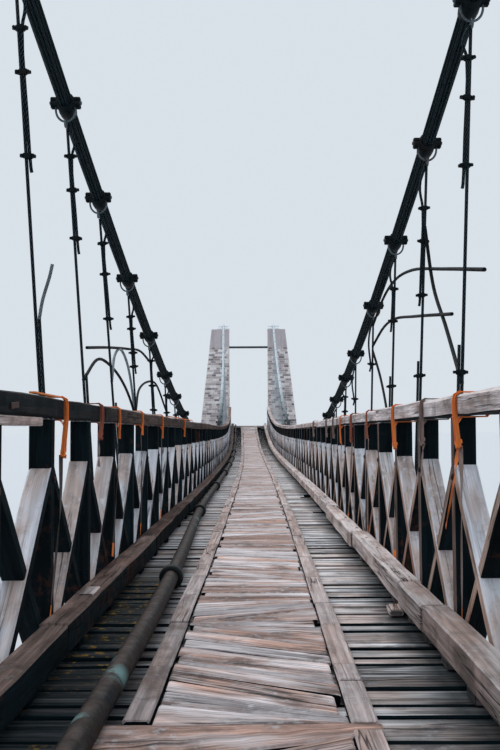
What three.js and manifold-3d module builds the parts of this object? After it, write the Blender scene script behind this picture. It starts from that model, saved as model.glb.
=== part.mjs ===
import * as THREE from 'three';
import { mergeVertices } from 'three/addons/utils/BufferGeometryUtils.js';
import Module from 'manifold-3d';

// A timber suspension footbridge hung from stone pylons, as a model at one half of its real size.
// x runs across the bridge, y along it towards the far bank, and z up from the lowest ground.
// Every size below is the real one, written in metres and turned into millimetres of the model by m.
const SCALE = 1 / 2;
const m = 1000 * SCALE;
const SEAT = 0.4;

// Span, towers and ground, measured from the walkway at the near end of the deck
const SPAN = 57 * m;
const HALF = SPAN / 2;
const GROUND = -2.2 * m;
const SIDE_BOW = 0.235 * m;
const DECK_FALL = 0.5 * m;
const DECK_SWEEP = 1.52 * m;
const SWEEP_POWER = 7;

// Main cables
const CABLE_RADIUS = 0.05 * m;
const CABLE_SIDES = 6;
const CABLE_LOW_POINT = 0.57 * m;
const CABLE_SAG = 6.8 * m;
const CABLE_X_MIDDLE = 1.33 * m;
const CABLE_X_TOWER = 1.55 * m;
const SADDLE_RADIUS = 0.7 * m;
const SADDLE_STEPS = 7;
const BACKSTAY_ANGLE = THREE.MathUtils.degToRad(44);

// Hangers and the bands that clamp them to the cables
const HANGER_SPACING = 1.5 * m;
const HANGERS_A_SIDE = 37;
const HANGER_WIDTH = 0.044 * m;
const HANGER_DEPTH = 0.026 * m;
const HANGER_FOOT_X = 1.32 * m;
const BAND = { across: 0.18 * m, along: 0.08 * m, high: 0.125 * m };
const BAND_CREEP = { left: -0.2, right: -0.04, most: 0.6 * m };

// How far along the bridge a band stands from its hanger's foot, where this is known, by side and number
const KNOWN_LEANS = {
  '-1': { '-13': -0.68, '-12': -0.82, '-11': -1.04, '-10': -0.9, '-9': -0.63, '-8': -0.32 },
  1: { '-13': -0.28, '-12': -0.31, '-11': -0.23, '-9': 0.16 },
};

// Loose wire ropes on the hangers: each starts on a hanger at a height, goes through places given along
// the bridge and up, and either ends free or is held by another hanger
const LOOSE_ROPE = { radius: 0.014 * m, sides: 6, steps: 12, outward: 0.042 * m };
const LOOSE_ROUTES = {
  left: [
    { from: [-9, 1.9], places: [[-14.6, 1.99], [-15.7, 1.93], [-17.0, 1.83], [-18.0, 1.74]] },
    { from: [-10, 1.15], places: [[-15.6, 1.37], [-16.2, 1.56], [-16.9, 1.67], [-17.5, 1.68]], to: [-12, 1.45] },
    { from: [-11, 1.5], places: [[-16.6, 1.78], [-16.25, 1.88], [-15.85, 1.8], [-15.55, 1.6]], to: [-10, 1.0] },
    { from: [-10, 1.25], places: [[-14.9, 1.5], [-14.0, 1.65], [-13.0, 1.64]], to: [-8, 1.3] },
  ],
  right: [
    {
      from: [-10, 2.25],
      places: [[-15.5, 2.47], [-16.4, 2.56], [-17.4, 2.49], [-18.8, 2.25], [-20.0, 2.03]],
    },
    { from: [-10, 2.0], places: [[-15.6, 2.15], [-16.4, 2.16], [-17.6, 2.04], [-19.1, 1.87]] },
    { from: [-12, 2.7], places: [[-18.4, 2.2], [-18.9, 1.8]], to: [-13, 1.35] },
    { from: [-10, 1.95], places: [[-15.4, 1.65], [-15.9, 1.3]], to: [-11, 0.9] },
  ],
};

// Timber of the deck, heights from the top of the walkway boards
const TRANSOM = { reach: 1.42 * m, half: 0.06 * m, bottom: -0.37 * m, top: -0.21 * m };
const STRINGER = { x: 0.7 * m, half: 0.06 * m, top: -0.09 * m };
const BOARDS = { reach: 1.06 * m, top: -0.045 * m };
const WALKWAY = { reach: 0.5 * m, strip: 0.12 * m, stripTop: 0.012 * m };
const KICK_BEAM = { inner: 0.92 * m, outer: 1.07 * m, bottom: 0.005 * m, top: 0.165 * m };
const KICK_BLOCK = { inner: 0.94 * m, outer: 1.05 * m, half: 0.1 * m, spacing: 3 * m };

// Parapet trusses
const TRUSS = { inner: 1.095 * m, outer: 1.225 * m, end: 27.5 * m, bay: 1 * m, postHalf: 0.05 * m };
const TRUSS_CHORD_TOP = -0.11 * m;
const BRACE = { top: 0.93 * m, bottom: -0.13 * m, high: 0.14 * m };
const RAIL = { inner: 1.08 * m, outer: 1.24 * m, bottom: 1.195 * m, top: 1.31 * m };

// Pylons, their saddles and cross beams
const PYLON = { inner: 1.19 * m, outerTop: 2.27 * m, halfTop: 0.4 * m, top: 6.98 * m };
const OUTER_BATTER = 1 / 8.8;
const FACE_BATTER = 1 / 14;
const SADDLE = { plate: 0.06 * m, plateReach: 0.37 * m, plateHalf: 0.36 * m, cradleHalf: 0.09 * m };
const PORTAL_BEAM = { above: 4.85 * m, size: 0.12 * m, y: 0.25 * m };

// Abutments and anchor blocks, along the bridge from a tower's middle
const ABUTMENT = { front: -1 * m, back: 1.1 * m };
const ANCHOR = { reach: 2.35 * m, high: 1.3 * m, faceLow: 0.5 * m, back: 10.9 * m };

// Water pipe that lies on the deck
const PIPE = { radius: 0.055 * m, sleeve: 0.09 * m, sleeveHalf: 0.05 * m, nearX: -0.6 * m, farX: -0.82 * m };
const PIPE_BEND = { from: -21 * m, to: -11 * m };
const PIPE_JOINTS = { first: -24.25 * m, spacing: 5.5 * m };
const PIPE_SIDES = 8;

// The deck's timbers change direction only at the bends, and their lengths meet at the listed ends
const BENDS = [-24, -20, -16, -12, -8, -4, 0, 4, 8, 12, 15, 18, 20, 22, 24, 26, 27].map((y) => y * m);
const STATIONS = [-HALF, ...BENDS, HALF];
const FLOOR_ENDS = [-HALF, -10 * m, 8 * m, 20.5 * m, HALF];
const BOARD_ENDS = [-HALF, 8 * m, 20.5 * m, HALF];
const PIPE_ENDS = [-HALF, 5 * m, 16 * m, 23 * m, HALF];
const PARAPET_ENDS = [-HALF, -10.5 * m, 7.5 * m, 19.5 * m, HALF];
const KICK_BEAM_ENDS = [-HALF, -4 * m, 9 * m, 16 * m, 21 * m, 25 * m, HALF];

const TIMBER = new THREE.MeshStandardMaterial({ color: 0x7a6a63, roughness: 0.85, metalness: 0 });
const DARK_TIMBER = new THREE.MeshStandardMaterial({ color: 0x5b4238, roughness: 0.85, metalness: 0 });
const WIRE_ROPE = new THREE.MeshStandardMaterial({ color: 0x1d2a2e, roughness: 0.5, metalness: 0.8 });
const PIPE_STEEL = new THREE.MeshStandardMaterial({ color: 0x6b5f58, roughness: 0.6, metalness: 0.6 });
const STONE = new THREE.MeshStandardMaterial({ color: 0x8c8782, roughness: 0.95, metalness: 0 });
const PALE_STEEL = new THREE.MeshStandardMaterial({ color: 0xb9c0c2, roughness: 0.45, metalness: 0.7 });

const wasm = await Module();
wasm.setup();
const bridge = new THREE.Group();

function add(name, geometry, material) {
  const mesh = new THREE.Mesh(geometry, material);
  mesh.name = name;
  bridge.add(mesh);
}

// The deck in plan and elevation: it bows to the right and sweeps up to the far bank
function bowAt(y) {
  return SIDE_BOW * (1 - (y / HALF) ** 2);
}

function gradeAt(y) {
  const s = (y + HALF) / SPAN;
  return DECK_SWEEP * s ** SWEEP_POWER - DECK_FALL * s;
}

function straightBetweenStations(curve, y) {
  let i = 1;
  while (i < STATIONS.length - 1 && y > STATIONS[i]) i += 1;
  const [a, b] = [STATIONS[i - 1], STATIONS[i]];
  return THREE.MathUtils.mapLinear(y, a, b, curve(a), curve(b));
}

const deckX = (y) => straightBetweenStations(bowAt, y);
const deckZ = (y) => straightBetweenStations(gradeAt, y);

function moveEach(geometry, move) {
  const place = geometry.attributes.position;
  const point = new THREE.Vector3();
  for (let i = 0; i < place.count; i += 1) {
    point.fromBufferAttribute(place, i);
    move(point);
    place.setXYZ(i, point.x, point.y, point.z);
  }
  return geometry;
}

// Moves a piece drawn straight and level on to the deck's line
function onDeck(geometry) {
  return moveEach(geometry, (point) => {
    point.x += deckX(point.y);
    point.z += deckZ(point.y);
  });
}

function shapeOf(points) {
  return new THREE.Shape(points.map(([a, b]) => new THREE.Vector2(a, b)));
}

// A section drawn in x and z, run along the deck with a ring at each station
function alongDeck(section, from, to) {
  const rings = [from, ...BENDS.filter((y) => y > from && y < to), to];
  const steps = rings.length - 1;
  const geometry = new THREE.ExtrudeGeometry(shapeOf(section), { depth: steps, steps, bevelEnabled: false });
  geometry.rotateX(Math.PI / 2);
  moveEach(geometry, (point) => {
    point.y = rings[Math.round(point.y + steps)];
  });
  return onDeck(geometry);
}

function rectangle(x0, x1, z0, z1) {
  return [[x0, z0], [x1, z0], [x1, z1], [x0, z1]];
}

// An outline drawn in y and z, given a thickness in x
function acrossDeck(outline, holes, x0, x1) {
  const shape = shapeOf(outline);
  shape.holes = holes.map((hole) => new THREE.Path(hole.map(([y, z]) => new THREE.Vector2(y, z))));
  const geometry = new THREE.ExtrudeGeometry(shape, { depth: x1 - x0, bevelEnabled: false });
  const axes = [new THREE.Vector3(0, 1, 0), new THREE.Vector3(0, 0, 1), new THREE.Vector3(1, 0, 0)];
  geometry.applyMatrix4(new THREE.Matrix4().makeBasis(...axes));
  return geometry.translate(x0, 0, 0);
}

function box(x0, x1, y0, y1, z0, z1) {
  const geometry = new THREE.BoxGeometry(x1 - x0, y1 - y0, z1 - z0);
  return geometry.translate((x0 + x1) / 2, (y0 + y1) / 2, (z0 + z1) / 2);
}

function polygon(radius, sides) {
  return Array.from({ length: sides }, (_, i) => {
    const angle = ((i + 0.5) / sides) * 2 * Math.PI;
    return [radius * Math.cos(angle), radius * Math.sin(angle)];
  });
}

function solidOf(geometry) {
  const plain = geometry.clone();
  plain.deleteAttribute('normal');
  plain.deleteAttribute('uv');
  const merged = mergeVertices(plain, 1e-3);
  return new wasm.Manifold(new wasm.Mesh({
    numProp: 3,
    vertProperties: new Float32Array(merged.attributes.position.array),
    triVerts: new Uint32Array(merged.index.array),
  }));
}

function geometryOf(solid) {
  const mesh = solid.getMesh();
  const geometry = new THREE.BufferGeometry();
  geometry.setAttribute('position', new THREE.BufferAttribute(new Float32Array(mesh.vertProperties), 3));
  geometry.setIndex(new THREE.BufferAttribute(new Uint32Array(mesh.triVerts), 1));
  geometry.computeVertexNormals();
  return geometry;
}

function joined(pieces) {
  return geometryOf(pieces.map(solidOf).reduce((whole, piece) => whole.add(piece)));
}

// Main cable, from anchor to anchor over both saddles
const SLOPE_AT_SADDLE = Math.atan((4 * CABLE_SAG) / SPAN);
const ARC_REACH = SADDLE_RADIUS * Math.sin(SLOPE_AT_SADDLE);
const SAG_RATE = CABLE_SAG / HALF ** 2;
const ARC_TOP = CABLE_LOW_POINT + SAG_RATE * (HALF - ARC_REACH) ** 2
  + SADDLE_RADIUS * (1 - Math.cos(SLOPE_AT_SADDLE));
const ANCHOR_SEAT_Z = GROUND + (ANCHOR.high + ANCHOR.faceLow) / 2;

function cableX(y) {
  const part = Math.min(Math.abs(y) / HALF, 1) ** 2;
  return CABLE_X_MIDDLE + (CABLE_X_TOWER - CABLE_X_MIDDLE) * part;
}

function cableZ(y) {
  return CABLE_LOW_POINT + SAG_RATE * y ** 2;
}

// The cable's slope changes at each hanger station and over the saddle, listed from the middle out
function halfCable() {
  const points = [];
  for (let i = 0; i <= (HANGERS_A_SIDE - 1) / 2; i += 1) {
    points.push([i * HANGER_SPACING, cableZ(i * HANGER_SPACING)]);
  }
  for (let i = 0; i <= SADDLE_STEPS; i += 1) {
    const angle = THREE.MathUtils.lerp(-SLOPE_AT_SADDLE, BACKSTAY_ANGLE, i / SADDLE_STEPS);
    const y = HALF + SADDLE_RADIUS * Math.sin(angle);
    points.push([y, ARC_TOP - SADDLE_RADIUS * (1 - Math.cos(angle))]);
  }
  const [lastY, lastZ] = points.at(-1);
  const drop = lastZ - ANCHOR_SEAT_Z;
  const inset = SEAT / Math.sin(BACKSTAY_ANGLE);
  points.push([lastY + (drop - inset) / Math.tan(BACKSTAY_ANGLE), ANCHOR_SEAT_Z + inset]);
  return points;
}

const HALF_CABLE = halfCable();
const ANCHOR_SEAT_Y = HALF_CABLE.at(-1)[0];

class Route extends THREE.Curve {
  constructor(points) {
    super();
    this.points = points;
  }

  getPointAt(u, target = new THREE.Vector3()) {
    return target.copy(this.points[Math.round(u * (this.points.length - 1))]);
  }

  getTangentAt(u, target = new THREE.Vector3()) {
    const last = this.points.length - 1;
    const i = Math.round(u * last);
    const before = this.points[Math.max(i - 1, 0)];
    const after = this.points[Math.min(i + 1, last)];
    return target.subVectors(after, before).normalize();
  }
}

function tube(points, radius, sides) {
  const path = new Route(points);
  const settings = { steps: points.length - 1, extrudePath: path, bevelEnabled: false };
  return new THREE.ExtrudeGeometry(shapeOf(polygon(radius, sides)), settings);
}

function mainCable(side) {
  const mirrored = HALF_CABLE.slice(1).reverse().map(([y, z]) => [-y, z]);
  const points = [...mirrored, ...HALF_CABLE].map(([y, z]) => {
    const bow = Math.abs(y) < HALF ? bowAt(y) : 0;
    return new THREE.Vector3(side * cableX(y) + bow, y, z);
  });
  return tube(points, CABLE_RADIUS, CABLE_SIDES);
}

function cablePoint(side, y) {
  const i = Math.floor(Math.abs(y) / HANGER_SPACING);
  const [a, b] = [i * HANGER_SPACING, (i + 1) * HANGER_SPACING];
  const ends = [a, b].map((end) => {
    const signed = Math.sign(y || 1) * end;
    return new THREE.Vector3(side * cableX(signed) + bowAt(signed), signed, cableZ(signed));
  });
  return new THREE.Vector3().lerpVectors(ends[0], ends[1], (Math.abs(y) - a) / HANGER_SPACING);
}

function strut(foot, head, width, depth) {
  const geometry = new THREE.BoxGeometry(width, depth, 1);
  const middle = new THREE.Vector3();
  return moveEach(geometry, (point) => {
    middle.lerpVectors(foot, head, point.z + 0.5);
    point.set(point.x + middle.x, point.y + middle.y, middle.z);
  });
}

function band(centre, slope) {
  const geometry = new THREE.BoxGeometry(BAND.across, BAND.along, BAND.high);
  return geometry.rotateX(slope).translate(centre.x, centre.y, centre.z);
}

function hangerEnds(side, creep, number) {
  const station = number * HANGER_SPACING;
  const highest = Math.max(deckZ(station - HANGER_DEPTH / 2), deckZ(station + HANGER_DEPTH / 2));
  const footZ = highest + TRANSOM.top + SEAT;
  const known = KNOWN_LEANS[side][number];
  const usual = Math.max(creep * (cableZ(station) - footZ), -BAND_CREEP.most);
  const lean = known === undefined ? usual : known * m;
  const limit = (HANGERS_A_SIDE / 2 - 1 / 4) * HANGER_SPACING;
  const head = cablePoint(side, THREE.MathUtils.clamp(station + lean, -limit, limit));
  return [new THREE.Vector3(side * HANGER_FOOT_X + deckX(station), station, footZ), head];
}

function looseRope(side, creep, route) {
  const onHanger = ([number, up]) => {
    const [foot, head] = hangerEnds(side, creep, number);
    return foot.lerp(head, (up * m - foot.z) / (head.z - foot.z));
  };
  const besideHangers = ([along, up]) => {
    const [y, z] = [along * m, up * m];
    const footZ = deckZ(y) + TRANSOM.top;
    const x = THREE.MathUtils.lerp(HANGER_FOOT_X, cableX(y), (z - footZ) / (cableZ(y) - footZ));
    return new THREE.Vector3(side * (x + LOOSE_ROPE.outward) + bowAt(y), y, z);
  };
  const places = [onHanger(route.from), ...route.places.map(besideHangers)];
  if (route.to) places.push(onHanger(route.to));
  const points = new THREE.CatmullRomCurve3(places).getPoints(LOOSE_ROPE.steps);
  return tube(points, LOOSE_ROPE.radius, LOOSE_ROPE.sides);
}

function suspension(side, creep, routes) {
  const pieces = [mainCable(side), ...routes.map((route) => looseRope(side, creep, route))];
  const middle = (HANGERS_A_SIDE - 1) / 2;
  for (let i = -middle; i <= middle; i += 1) {
    const [foot, head] = hangerEnds(side, creep, i);
    pieces.push(band(head, Math.atan(2 * SAG_RATE * head.y)));
    pieces.push(strut(foot, head, HANGER_WIDTH, HANGER_DEPTH));
  }
  return joined(pieces);
}

// Floor: cross beams that the hangers carry, with two stringers on them
function transom(y) {
  const half = new THREE.BoxGeometry(2 * TRANSOM.reach, 2 * TRANSOM.half, TRANSOM.top - TRANSOM.bottom, 1, 2, 1);
  return onDeck(half.translate(0, y, (TRANSOM.top + TRANSOM.bottom) / 2));
}

function floorFrame(from, to) {
  const sunk = TRANSOM.top - 2 * SEAT;
  const pieces = [-1, 1].map((side) => {
    const x = side * STRINGER.x;
    const section = rectangle(x - STRINGER.half, x + STRINGER.half, sunk, STRINGER.top - SEAT);
    return alongDeck(section, from + SEAT, to - SEAT);
  });
  const reach = (HANGERS_A_SIDE - 1) / 2;
  for (let i = -reach; i <= reach; i += 1) {
    const y = i * HANGER_SPACING;
    if (y - TRANSOM.half > from && y + TRANSOM.half < to) pieces.push(transom(y));
  }
  return joined(pieces);
}

function baseBoards(from, to) {
  const section = rectangle(-BOARDS.reach, BOARDS.reach, STRINGER.top, BOARDS.top);
  return alongDeck(section, from + SEAT, to - SEAT);
}

function walkway(from, to) {
  const inner = WALKWAY.reach - WALKWAY.strip;
  const bottom = BOARDS.top + SEAT;
  const right = [[WALKWAY.reach, bottom], [WALKWAY.reach, WALKWAY.stripTop], [inner, WALKWAY.stripTop], [inner, 0]];
  const left = right.map(([x, z]) => [-x, z]).reverse();
  return alongDeck([...right, ...left], from + SEAT, to - SEAT);
}

function kickBeam(side, from, to) {
  const [a, b] = side > 0 ? [KICK_BEAM.inner, KICK_BEAM.outer] : [-KICK_BEAM.outer, -KICK_BEAM.inner];
  const pieces = [alongDeck(rectangle(a, b, KICK_BEAM.bottom, KICK_BEAM.top), from + SEAT, to - SEAT)];
  const first = Math.ceil((from + KICK_BLOCK.half) / KICK_BLOCK.spacing - 0.5);
  for (let y = (first + 0.5) * KICK_BLOCK.spacing; y + KICK_BLOCK.half < to; y += KICK_BLOCK.spacing) {
    const [c, d] = [side * KICK_BLOCK.inner, side * KICK_BLOCK.outer].sort((p, q) => p - q);
    const low = BOARDS.top + SEAT;
    pieces.push(onDeck(box(c, d, y - KICK_BLOCK.half, y + KICK_BLOCK.half, low, KICK_BEAM.bottom + SEAT)));
  }
  return joined(pieces);
}

// Parapet truss: posts, crossed braces and a bottom chord, fused into one flat lattice
function trussPosts(from, to) {
  const posts = [];
  for (let y = -TRUSS.end; y <= TRUSS.end + SEAT; y += TRUSS.bay) {
    if (y > from + SEAT && y <= to + SEAT) posts.push(y);
  }
  return posts;
}

function bayHoles(a, b) {
  const [width, high] = [b - a, BRACE.high];
  const middle = (BRACE.top + BRACE.bottom) / 2;
  const part = ((BRACE.top - BRACE.bottom) / 2 - high) / (BRACE.top - BRACE.bottom - high);
  const lower = (BRACE.top - high + BRACE.bottom) / 2;
  const flank = (TRUSS_CHORD_TOP - BRACE.bottom) / (lower - BRACE.bottom);
  const left = [[a, BRACE.bottom + high], [a + part * width, middle], [a, BRACE.top - high]];
  const right = [[b, BRACE.bottom + high], [b, BRACE.top - high], [b - part * width, middle]];
  const inset = (flank * width) / 2;
  const under = [[a + inset, TRUSS_CHORD_TOP], [b - inset, TRUSS_CHORD_TOP], [(a + b) / 2, lower]];
  return [left, right, under];
}

function truss(side, from, to) {
  const posts = trussPosts(from, to);
  const half = TRUSS.postHalf;
  const isFirst = from <= -TRUSS.end;
  const starts = [...(isFirst ? [] : [from + half + SEAT]), ...posts.map((y) => y + half)];
  const ends = posts.slice(isFirst ? 1 : 0).map((y) => y - half);
  const postTop = RAIL.bottom - SEAT;
  const peak = (BRACE.top + BRACE.bottom + BRACE.high) / 2;
  const top = isFirst ? [[posts[0] - half, postTop], [posts[0] + half, postTop]] : [];
  const holes = ends.flatMap((b, i) => {
    const a = starts[i];
    top.push([a, BRACE.top], [(a + b) / 2, peak], [b, BRACE.top], [b, postTop], [b + 2 * half, postTop]);
    return bayHoles(a, b);
  });
  const openSide = isFirst ? [] : holes.shift();
  const first = top[0][0];
  const last = posts.at(-1) + half;
  const bottom = TRANSOM.top + SEAT;
  const kinks = BENDS.filter((y) => y > first && y < last).map((y) => [y, bottom]);
  const outline = [...openSide, ...top, [last, bottom], ...kinks.reverse(), [first, bottom]].reverse();
  const [x0, x1] = side > 0 ? [TRUSS.inner, TRUSS.outer] : [-TRUSS.outer, -TRUSS.inner];
  const raised = (points) => points.map(([y, z]) => [y, z + deckZ(y)]);
  return moveEach(acrossDeck(raised(outline), holes.map(raised), x0, x1), (point) => {
    point.x += deckX(point.y);
  });
}

function topRail(side, from, to) {
  const [a, b] = side > 0 ? [RAIL.inner, RAIL.outer] : [-RAIL.outer, -RAIL.inner];
  const limit = TRUSS.end + TRUSS.postHalf;
  const section = rectangle(a, b, RAIL.bottom, RAIL.top);
  return alongDeck(section, Math.max(from, -limit) + SEAT, Math.min(to, limit) - SEAT);
}

// Pylon: a battered stone shaft down to the ground, its inner face upright
function pylon(side, end) {
  const drop = PYLON.top - GROUND;
  const spread = [PYLON.halfTop, PYLON.outerTop];
  const foot = [PYLON.halfTop + drop * FACE_BATTER, PYLON.outerTop + drop * OUTER_BATTER];
  const geometry = new THREE.BoxGeometry(1, 1, 1);
  return moveEach(geometry, (point) => {
    const [half, outer] = point.z > 0 ? spread : foot;
    const x = side * (point.x * side > 0 ? outer : PYLON.inner);
    point.set(x, end * HALF + Math.sign(point.y) * half, point.z > 0 ? PYLON.top : GROUND);
  });
}

function saddle(side, end) {
  const plateTop = PYLON.top + SADDLE.plate + SEAT;
  const inner = SADDLE_RADIUS - CABLE_RADIUS - SEAT;
  const outline = [];
  for (let i = 0; i <= SADDLE_STEPS; i += 1) {
    const angle = THREE.MathUtils.lerp(-SLOPE_AT_SADDLE, BACKSTAY_ANGLE, i / SADDLE_STEPS);
    outline.push([inner * Math.sin(angle), ARC_TOP - SADDLE_RADIUS + inner * Math.cos(angle)]);
  }
  const cradle = outline.filter(([, z]) => z > plateTop);
  const base = plateTop - 2 * SEAT;
  const [front, back] = [cradle[0][0], cradle.at(-1)[0]];
  const profile = [[front, base], [back, base], ...cradle.reverse()].map(([y, z]) => [end * (HALF + y), z]);
  const x = side * CABLE_X_TOWER;
  const block = acrossDeck(profile, [], x - SADDLE.cradleHalf, x + SADDLE.cradleHalf);
  const plate = box(x - SADDLE.plateReach, x + SADDLE.plateReach, end * HALF - SADDLE.plateHalf,
    end * HALF + SADDLE.plateHalf, PYLON.top + SEAT, plateTop);
  return joined([plate, block]);
}

function portalBeam(end) {
  const y = end * (HALF - PORTAL_BEAM.y);
  const z = gradeAt(end * HALF) + PORTAL_BEAM.above;
  const half = PORTAL_BEAM.size / 2;
  return box(-PYLON.inner + SEAT, PYLON.inner - SEAT, y - half, y + half, z - half, z + half);
}

// Abutment between the pylons, with a seat for the deck and a threshold level with the walkway
function abutment(end) {
  const seat = (y) => deckZ(end * y) + TRANSOM.top - 3 * SEAT;
  const [front, back] = [HALF + ABUTMENT.front, HALF + ABUTMENT.back];
  const stop = HALF + 2 * SEAT;
  const level = gradeAt(end * HALF);
  const outline = [[front, GROUND], [back, GROUND], [back, level], [stop, level], [stop, seat(HALF)], [front, seat(front)]];
  const placed = outline.map(([y, z]) => [end * y, z]);
  return acrossDeck(end > 0 ? placed : placed.reverse(), [], -PYLON.inner + SEAT, PYLON.inner - SEAT);
}

// Anchor block, its front sloped square to the two backstays that end on it
function anchorBlock(end) {
  const rise = (ANCHOR.high - ANCHOR.faceLow) / 2;
  const run = rise * Math.tan(BACKSTAY_ANGLE);
  const back = HALF + ANCHOR.back;
  const outline = [
    [ANCHOR_SEAT_Y - run, GROUND], [back, GROUND], [back, GROUND + ANCHOR.high],
    [ANCHOR_SEAT_Y + run, GROUND + ANCHOR.high], [ANCHOR_SEAT_Y - run, GROUND + ANCHOR.faceLow],
  ];
  const placed = outline.map(([y, z]) => [end * y, z]);
  return acrossDeck(end > 0 ? placed : placed.reverse(), [], -ANCHOR.reach, ANCHOR.reach);
}

function pipeX(y) {
  const part = THREE.MathUtils.smoothstep(y, PIPE_BEND.from, PIPE_BEND.to);
  return THREE.MathUtils.lerp(PIPE.nearX, PIPE.farX, part);
}

function waterPipe(from, to) {
  const z = BOARDS.top + PIPE.sleeve * Math.cos(Math.PI / PIPE_SIDES) + SEAT;
  const ring = (radius) => polygon(radius, PIPE_SIDES).map(([x, up]) => [x, z + up]);
  const sideways = (geometry) => moveEach(geometry, (point) => {
    point.x += pipeX(point.y);
  });
  const pieces = [sideways(alongDeck(ring(PIPE.radius), from + SEAT, to - SEAT))];
  for (let y = PIPE_JOINTS.first; y < to; y += PIPE_JOINTS.spacing) {
    if (y < from) continue;
    pieces.push(sideways(alongDeck(ring(PIPE.sleeve), y - PIPE.sleeveHalf, y + PIPE.sleeveHalf)));
  }
  return joined(pieces);
}

function forEachLength(ends, make) {
  for (let i = 1; i < ends.length; i += 1) make(ends[i - 1], ends[i], i);
}

const SIDES = [['left', -1], ['right', 1]];
const ENDS = [['near', -1], ['far', 1]];

for (const [side, sign] of SIDES) {
  add(`${side}_cable_and_hangers`, suspension(sign, BAND_CREEP[side], LOOSE_ROUTES[side]), WIRE_ROPE);
}

forEachLength(FLOOR_ENDS, (from, to, number) => {
  add(`floor_frame_${number}`, floorFrame(from, to), TIMBER);
});

forEachLength(BOARD_ENDS, (from, to, number) => {
  add(`base_boards_${number}`, baseBoards(from, to), TIMBER);
  add(`walkway_boards_${number}`, walkway(from, to), TIMBER);
});

forEachLength(PIPE_ENDS, (from, to, number) => {
  add(`water_pipe_${number}`, waterPipe(from, to), PIPE_STEEL);
});

for (const [side, sign] of SIDES) {
  const timber = side === 'left' ? DARK_TIMBER : TIMBER;
  forEachLength(KICK_BEAM_ENDS, (from, to, number) => {
    add(`${side}_kick_beam_${number}`, kickBeam(sign, from, to), timber);
  });
  forEachLength(PARAPET_ENDS, (from, to, number) => {
    add(`${side}_truss_${number}`, truss(sign, from, to), timber);
    add(`${side}_top_rail_${number}`, topRail(sign, from, to), timber);
  });
}

for (const [end, direction] of ENDS) {
  for (const [side, sign] of SIDES) {
    add(`${end}_${side}_pylon`, pylon(sign, direction), STONE);
    add(`${end}_${side}_saddle`, saddle(sign, direction), PALE_STEEL);
  }
  add(`${end}_portal_beam`, portalBeam(direction), WIRE_ROPE);
  add(`${end}_abutment`, abutment(direction), STONE);
  add(`${end}_anchor_block`, anchorBlock(direction), STONE);
}

bridge.position.z = -GROUND;

export default bridge;
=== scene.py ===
"""A timber suspension footbridge hung from stone pylons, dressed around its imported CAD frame."""
import bisect
import math
import random

import bmesh
import bpy
from mathutils import Matrix, Vector


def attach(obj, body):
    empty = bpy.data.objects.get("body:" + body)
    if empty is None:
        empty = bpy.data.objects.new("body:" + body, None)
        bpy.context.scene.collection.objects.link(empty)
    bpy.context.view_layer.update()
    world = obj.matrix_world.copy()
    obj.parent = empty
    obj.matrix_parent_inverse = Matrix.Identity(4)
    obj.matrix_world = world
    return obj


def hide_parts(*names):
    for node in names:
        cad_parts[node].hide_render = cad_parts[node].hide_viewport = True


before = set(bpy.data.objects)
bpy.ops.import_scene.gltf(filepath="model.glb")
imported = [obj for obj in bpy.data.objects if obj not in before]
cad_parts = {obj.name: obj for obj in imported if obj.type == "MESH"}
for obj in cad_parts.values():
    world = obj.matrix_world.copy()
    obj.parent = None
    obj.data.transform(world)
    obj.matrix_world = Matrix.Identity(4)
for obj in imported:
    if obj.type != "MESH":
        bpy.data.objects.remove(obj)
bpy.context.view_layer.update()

# The model is one half of the real size. All sizes below are the real ones, in metres
SCALE = 0.5
GROUND = -2.2
SPAN = 57.0
HALF = SPAN / 2
LAST = HALF - 0.01
SIDE_BOW = 0.235
DECK_FALL = 0.5
DECK_SWEEP = 1.52
SWEEP_POWER = 7
BENDS = [-24, -20, -16, -12, -8, -4, 0, 4, 8, 12, 15, 18, 20, 22, 24, 26, 27]
STATIONS = [-HALF, *BENDS, HALF]

CABLE_RADIUS = 0.05
CABLE_LOW_POINT = 0.57
CABLE_SAG = 6.8
CABLE_X_MIDDLE = 1.33
CABLE_X_TOWER = 1.55
CURVE_END = 27
SADDLE_RADIUS = 0.7
BACKSTAY_ANGLE = math.radians(44)
HANGER_SPACING = 1.5
HANGERS_A_SIDE = 37
HANGERS = range(-(HANGERS_A_SIDE // 2), HANGERS_A_SIDE // 2 + 1)
HANGER_FOOT_X = 1.32
BAND_CREEP = {-1: -0.2, 1: -0.04}
MOST_CREEP = 0.6
# How far along the bridge a band stands from its hanger's foot, where this is known, by side and number
KNOWN_LEANS = {
    -1: {-13: -0.68, -12: -0.82, -11: -1.04, -10: -0.9, -9: -0.63, -8: -0.32},
    1: {-13: -0.28, -12: -0.31, -11: -0.23, -9: 0.16},
}

TRANSOM_REACH = 1.42
TRANSOM_HALF = 0.06
TRANSOM_BOTTOM = -0.37
TRANSOM_TOP = -0.21
STRINGER_X = 0.7
STRINGER_TOP = -0.09
BOARDS_REACH = 1.06
BOARDS_TOP = -0.045
WALKWAY_REACH = 0.5
STRIP_WIDTH = 0.12
STRIP_TOP = 0.012
KICK_INNER = 0.92
KICK_OUTER = 1.07
KICK_MIDDLE = 0.995
KICK_BOTTOM = 0.005
KICK_TOP = 0.165
TRUSS_INNER = 1.095
TRUSS_OUTER = 1.225
TRUSS_MIDDLE = (TRUSS_INNER + TRUSS_OUTER) / 2
TRUSS_WIDTH = TRUSS_OUTER - TRUSS_INNER
TRUSS_END = 27.5
BAYS = int(2 * TRUSS_END)
POST_HALF = 0.05
CHORD_TOP = -0.11
BRACE_TOP = 0.93
BRACE_BOTTOM = -0.13
BRACE_HIGH = 0.1
RAIL_INNER = 1.08
RAIL_OUTER = 1.24
RAIL_MIDDLE = 1.16
RAIL_BOTTOM = 1.195
RAIL_TOP = 1.31
PYLON_INNER = 1.19
PYLON_OUTER_TOP = 2.27
PYLON_HALF_TOP = 0.4
PYLON_TOP = 6.98
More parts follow.
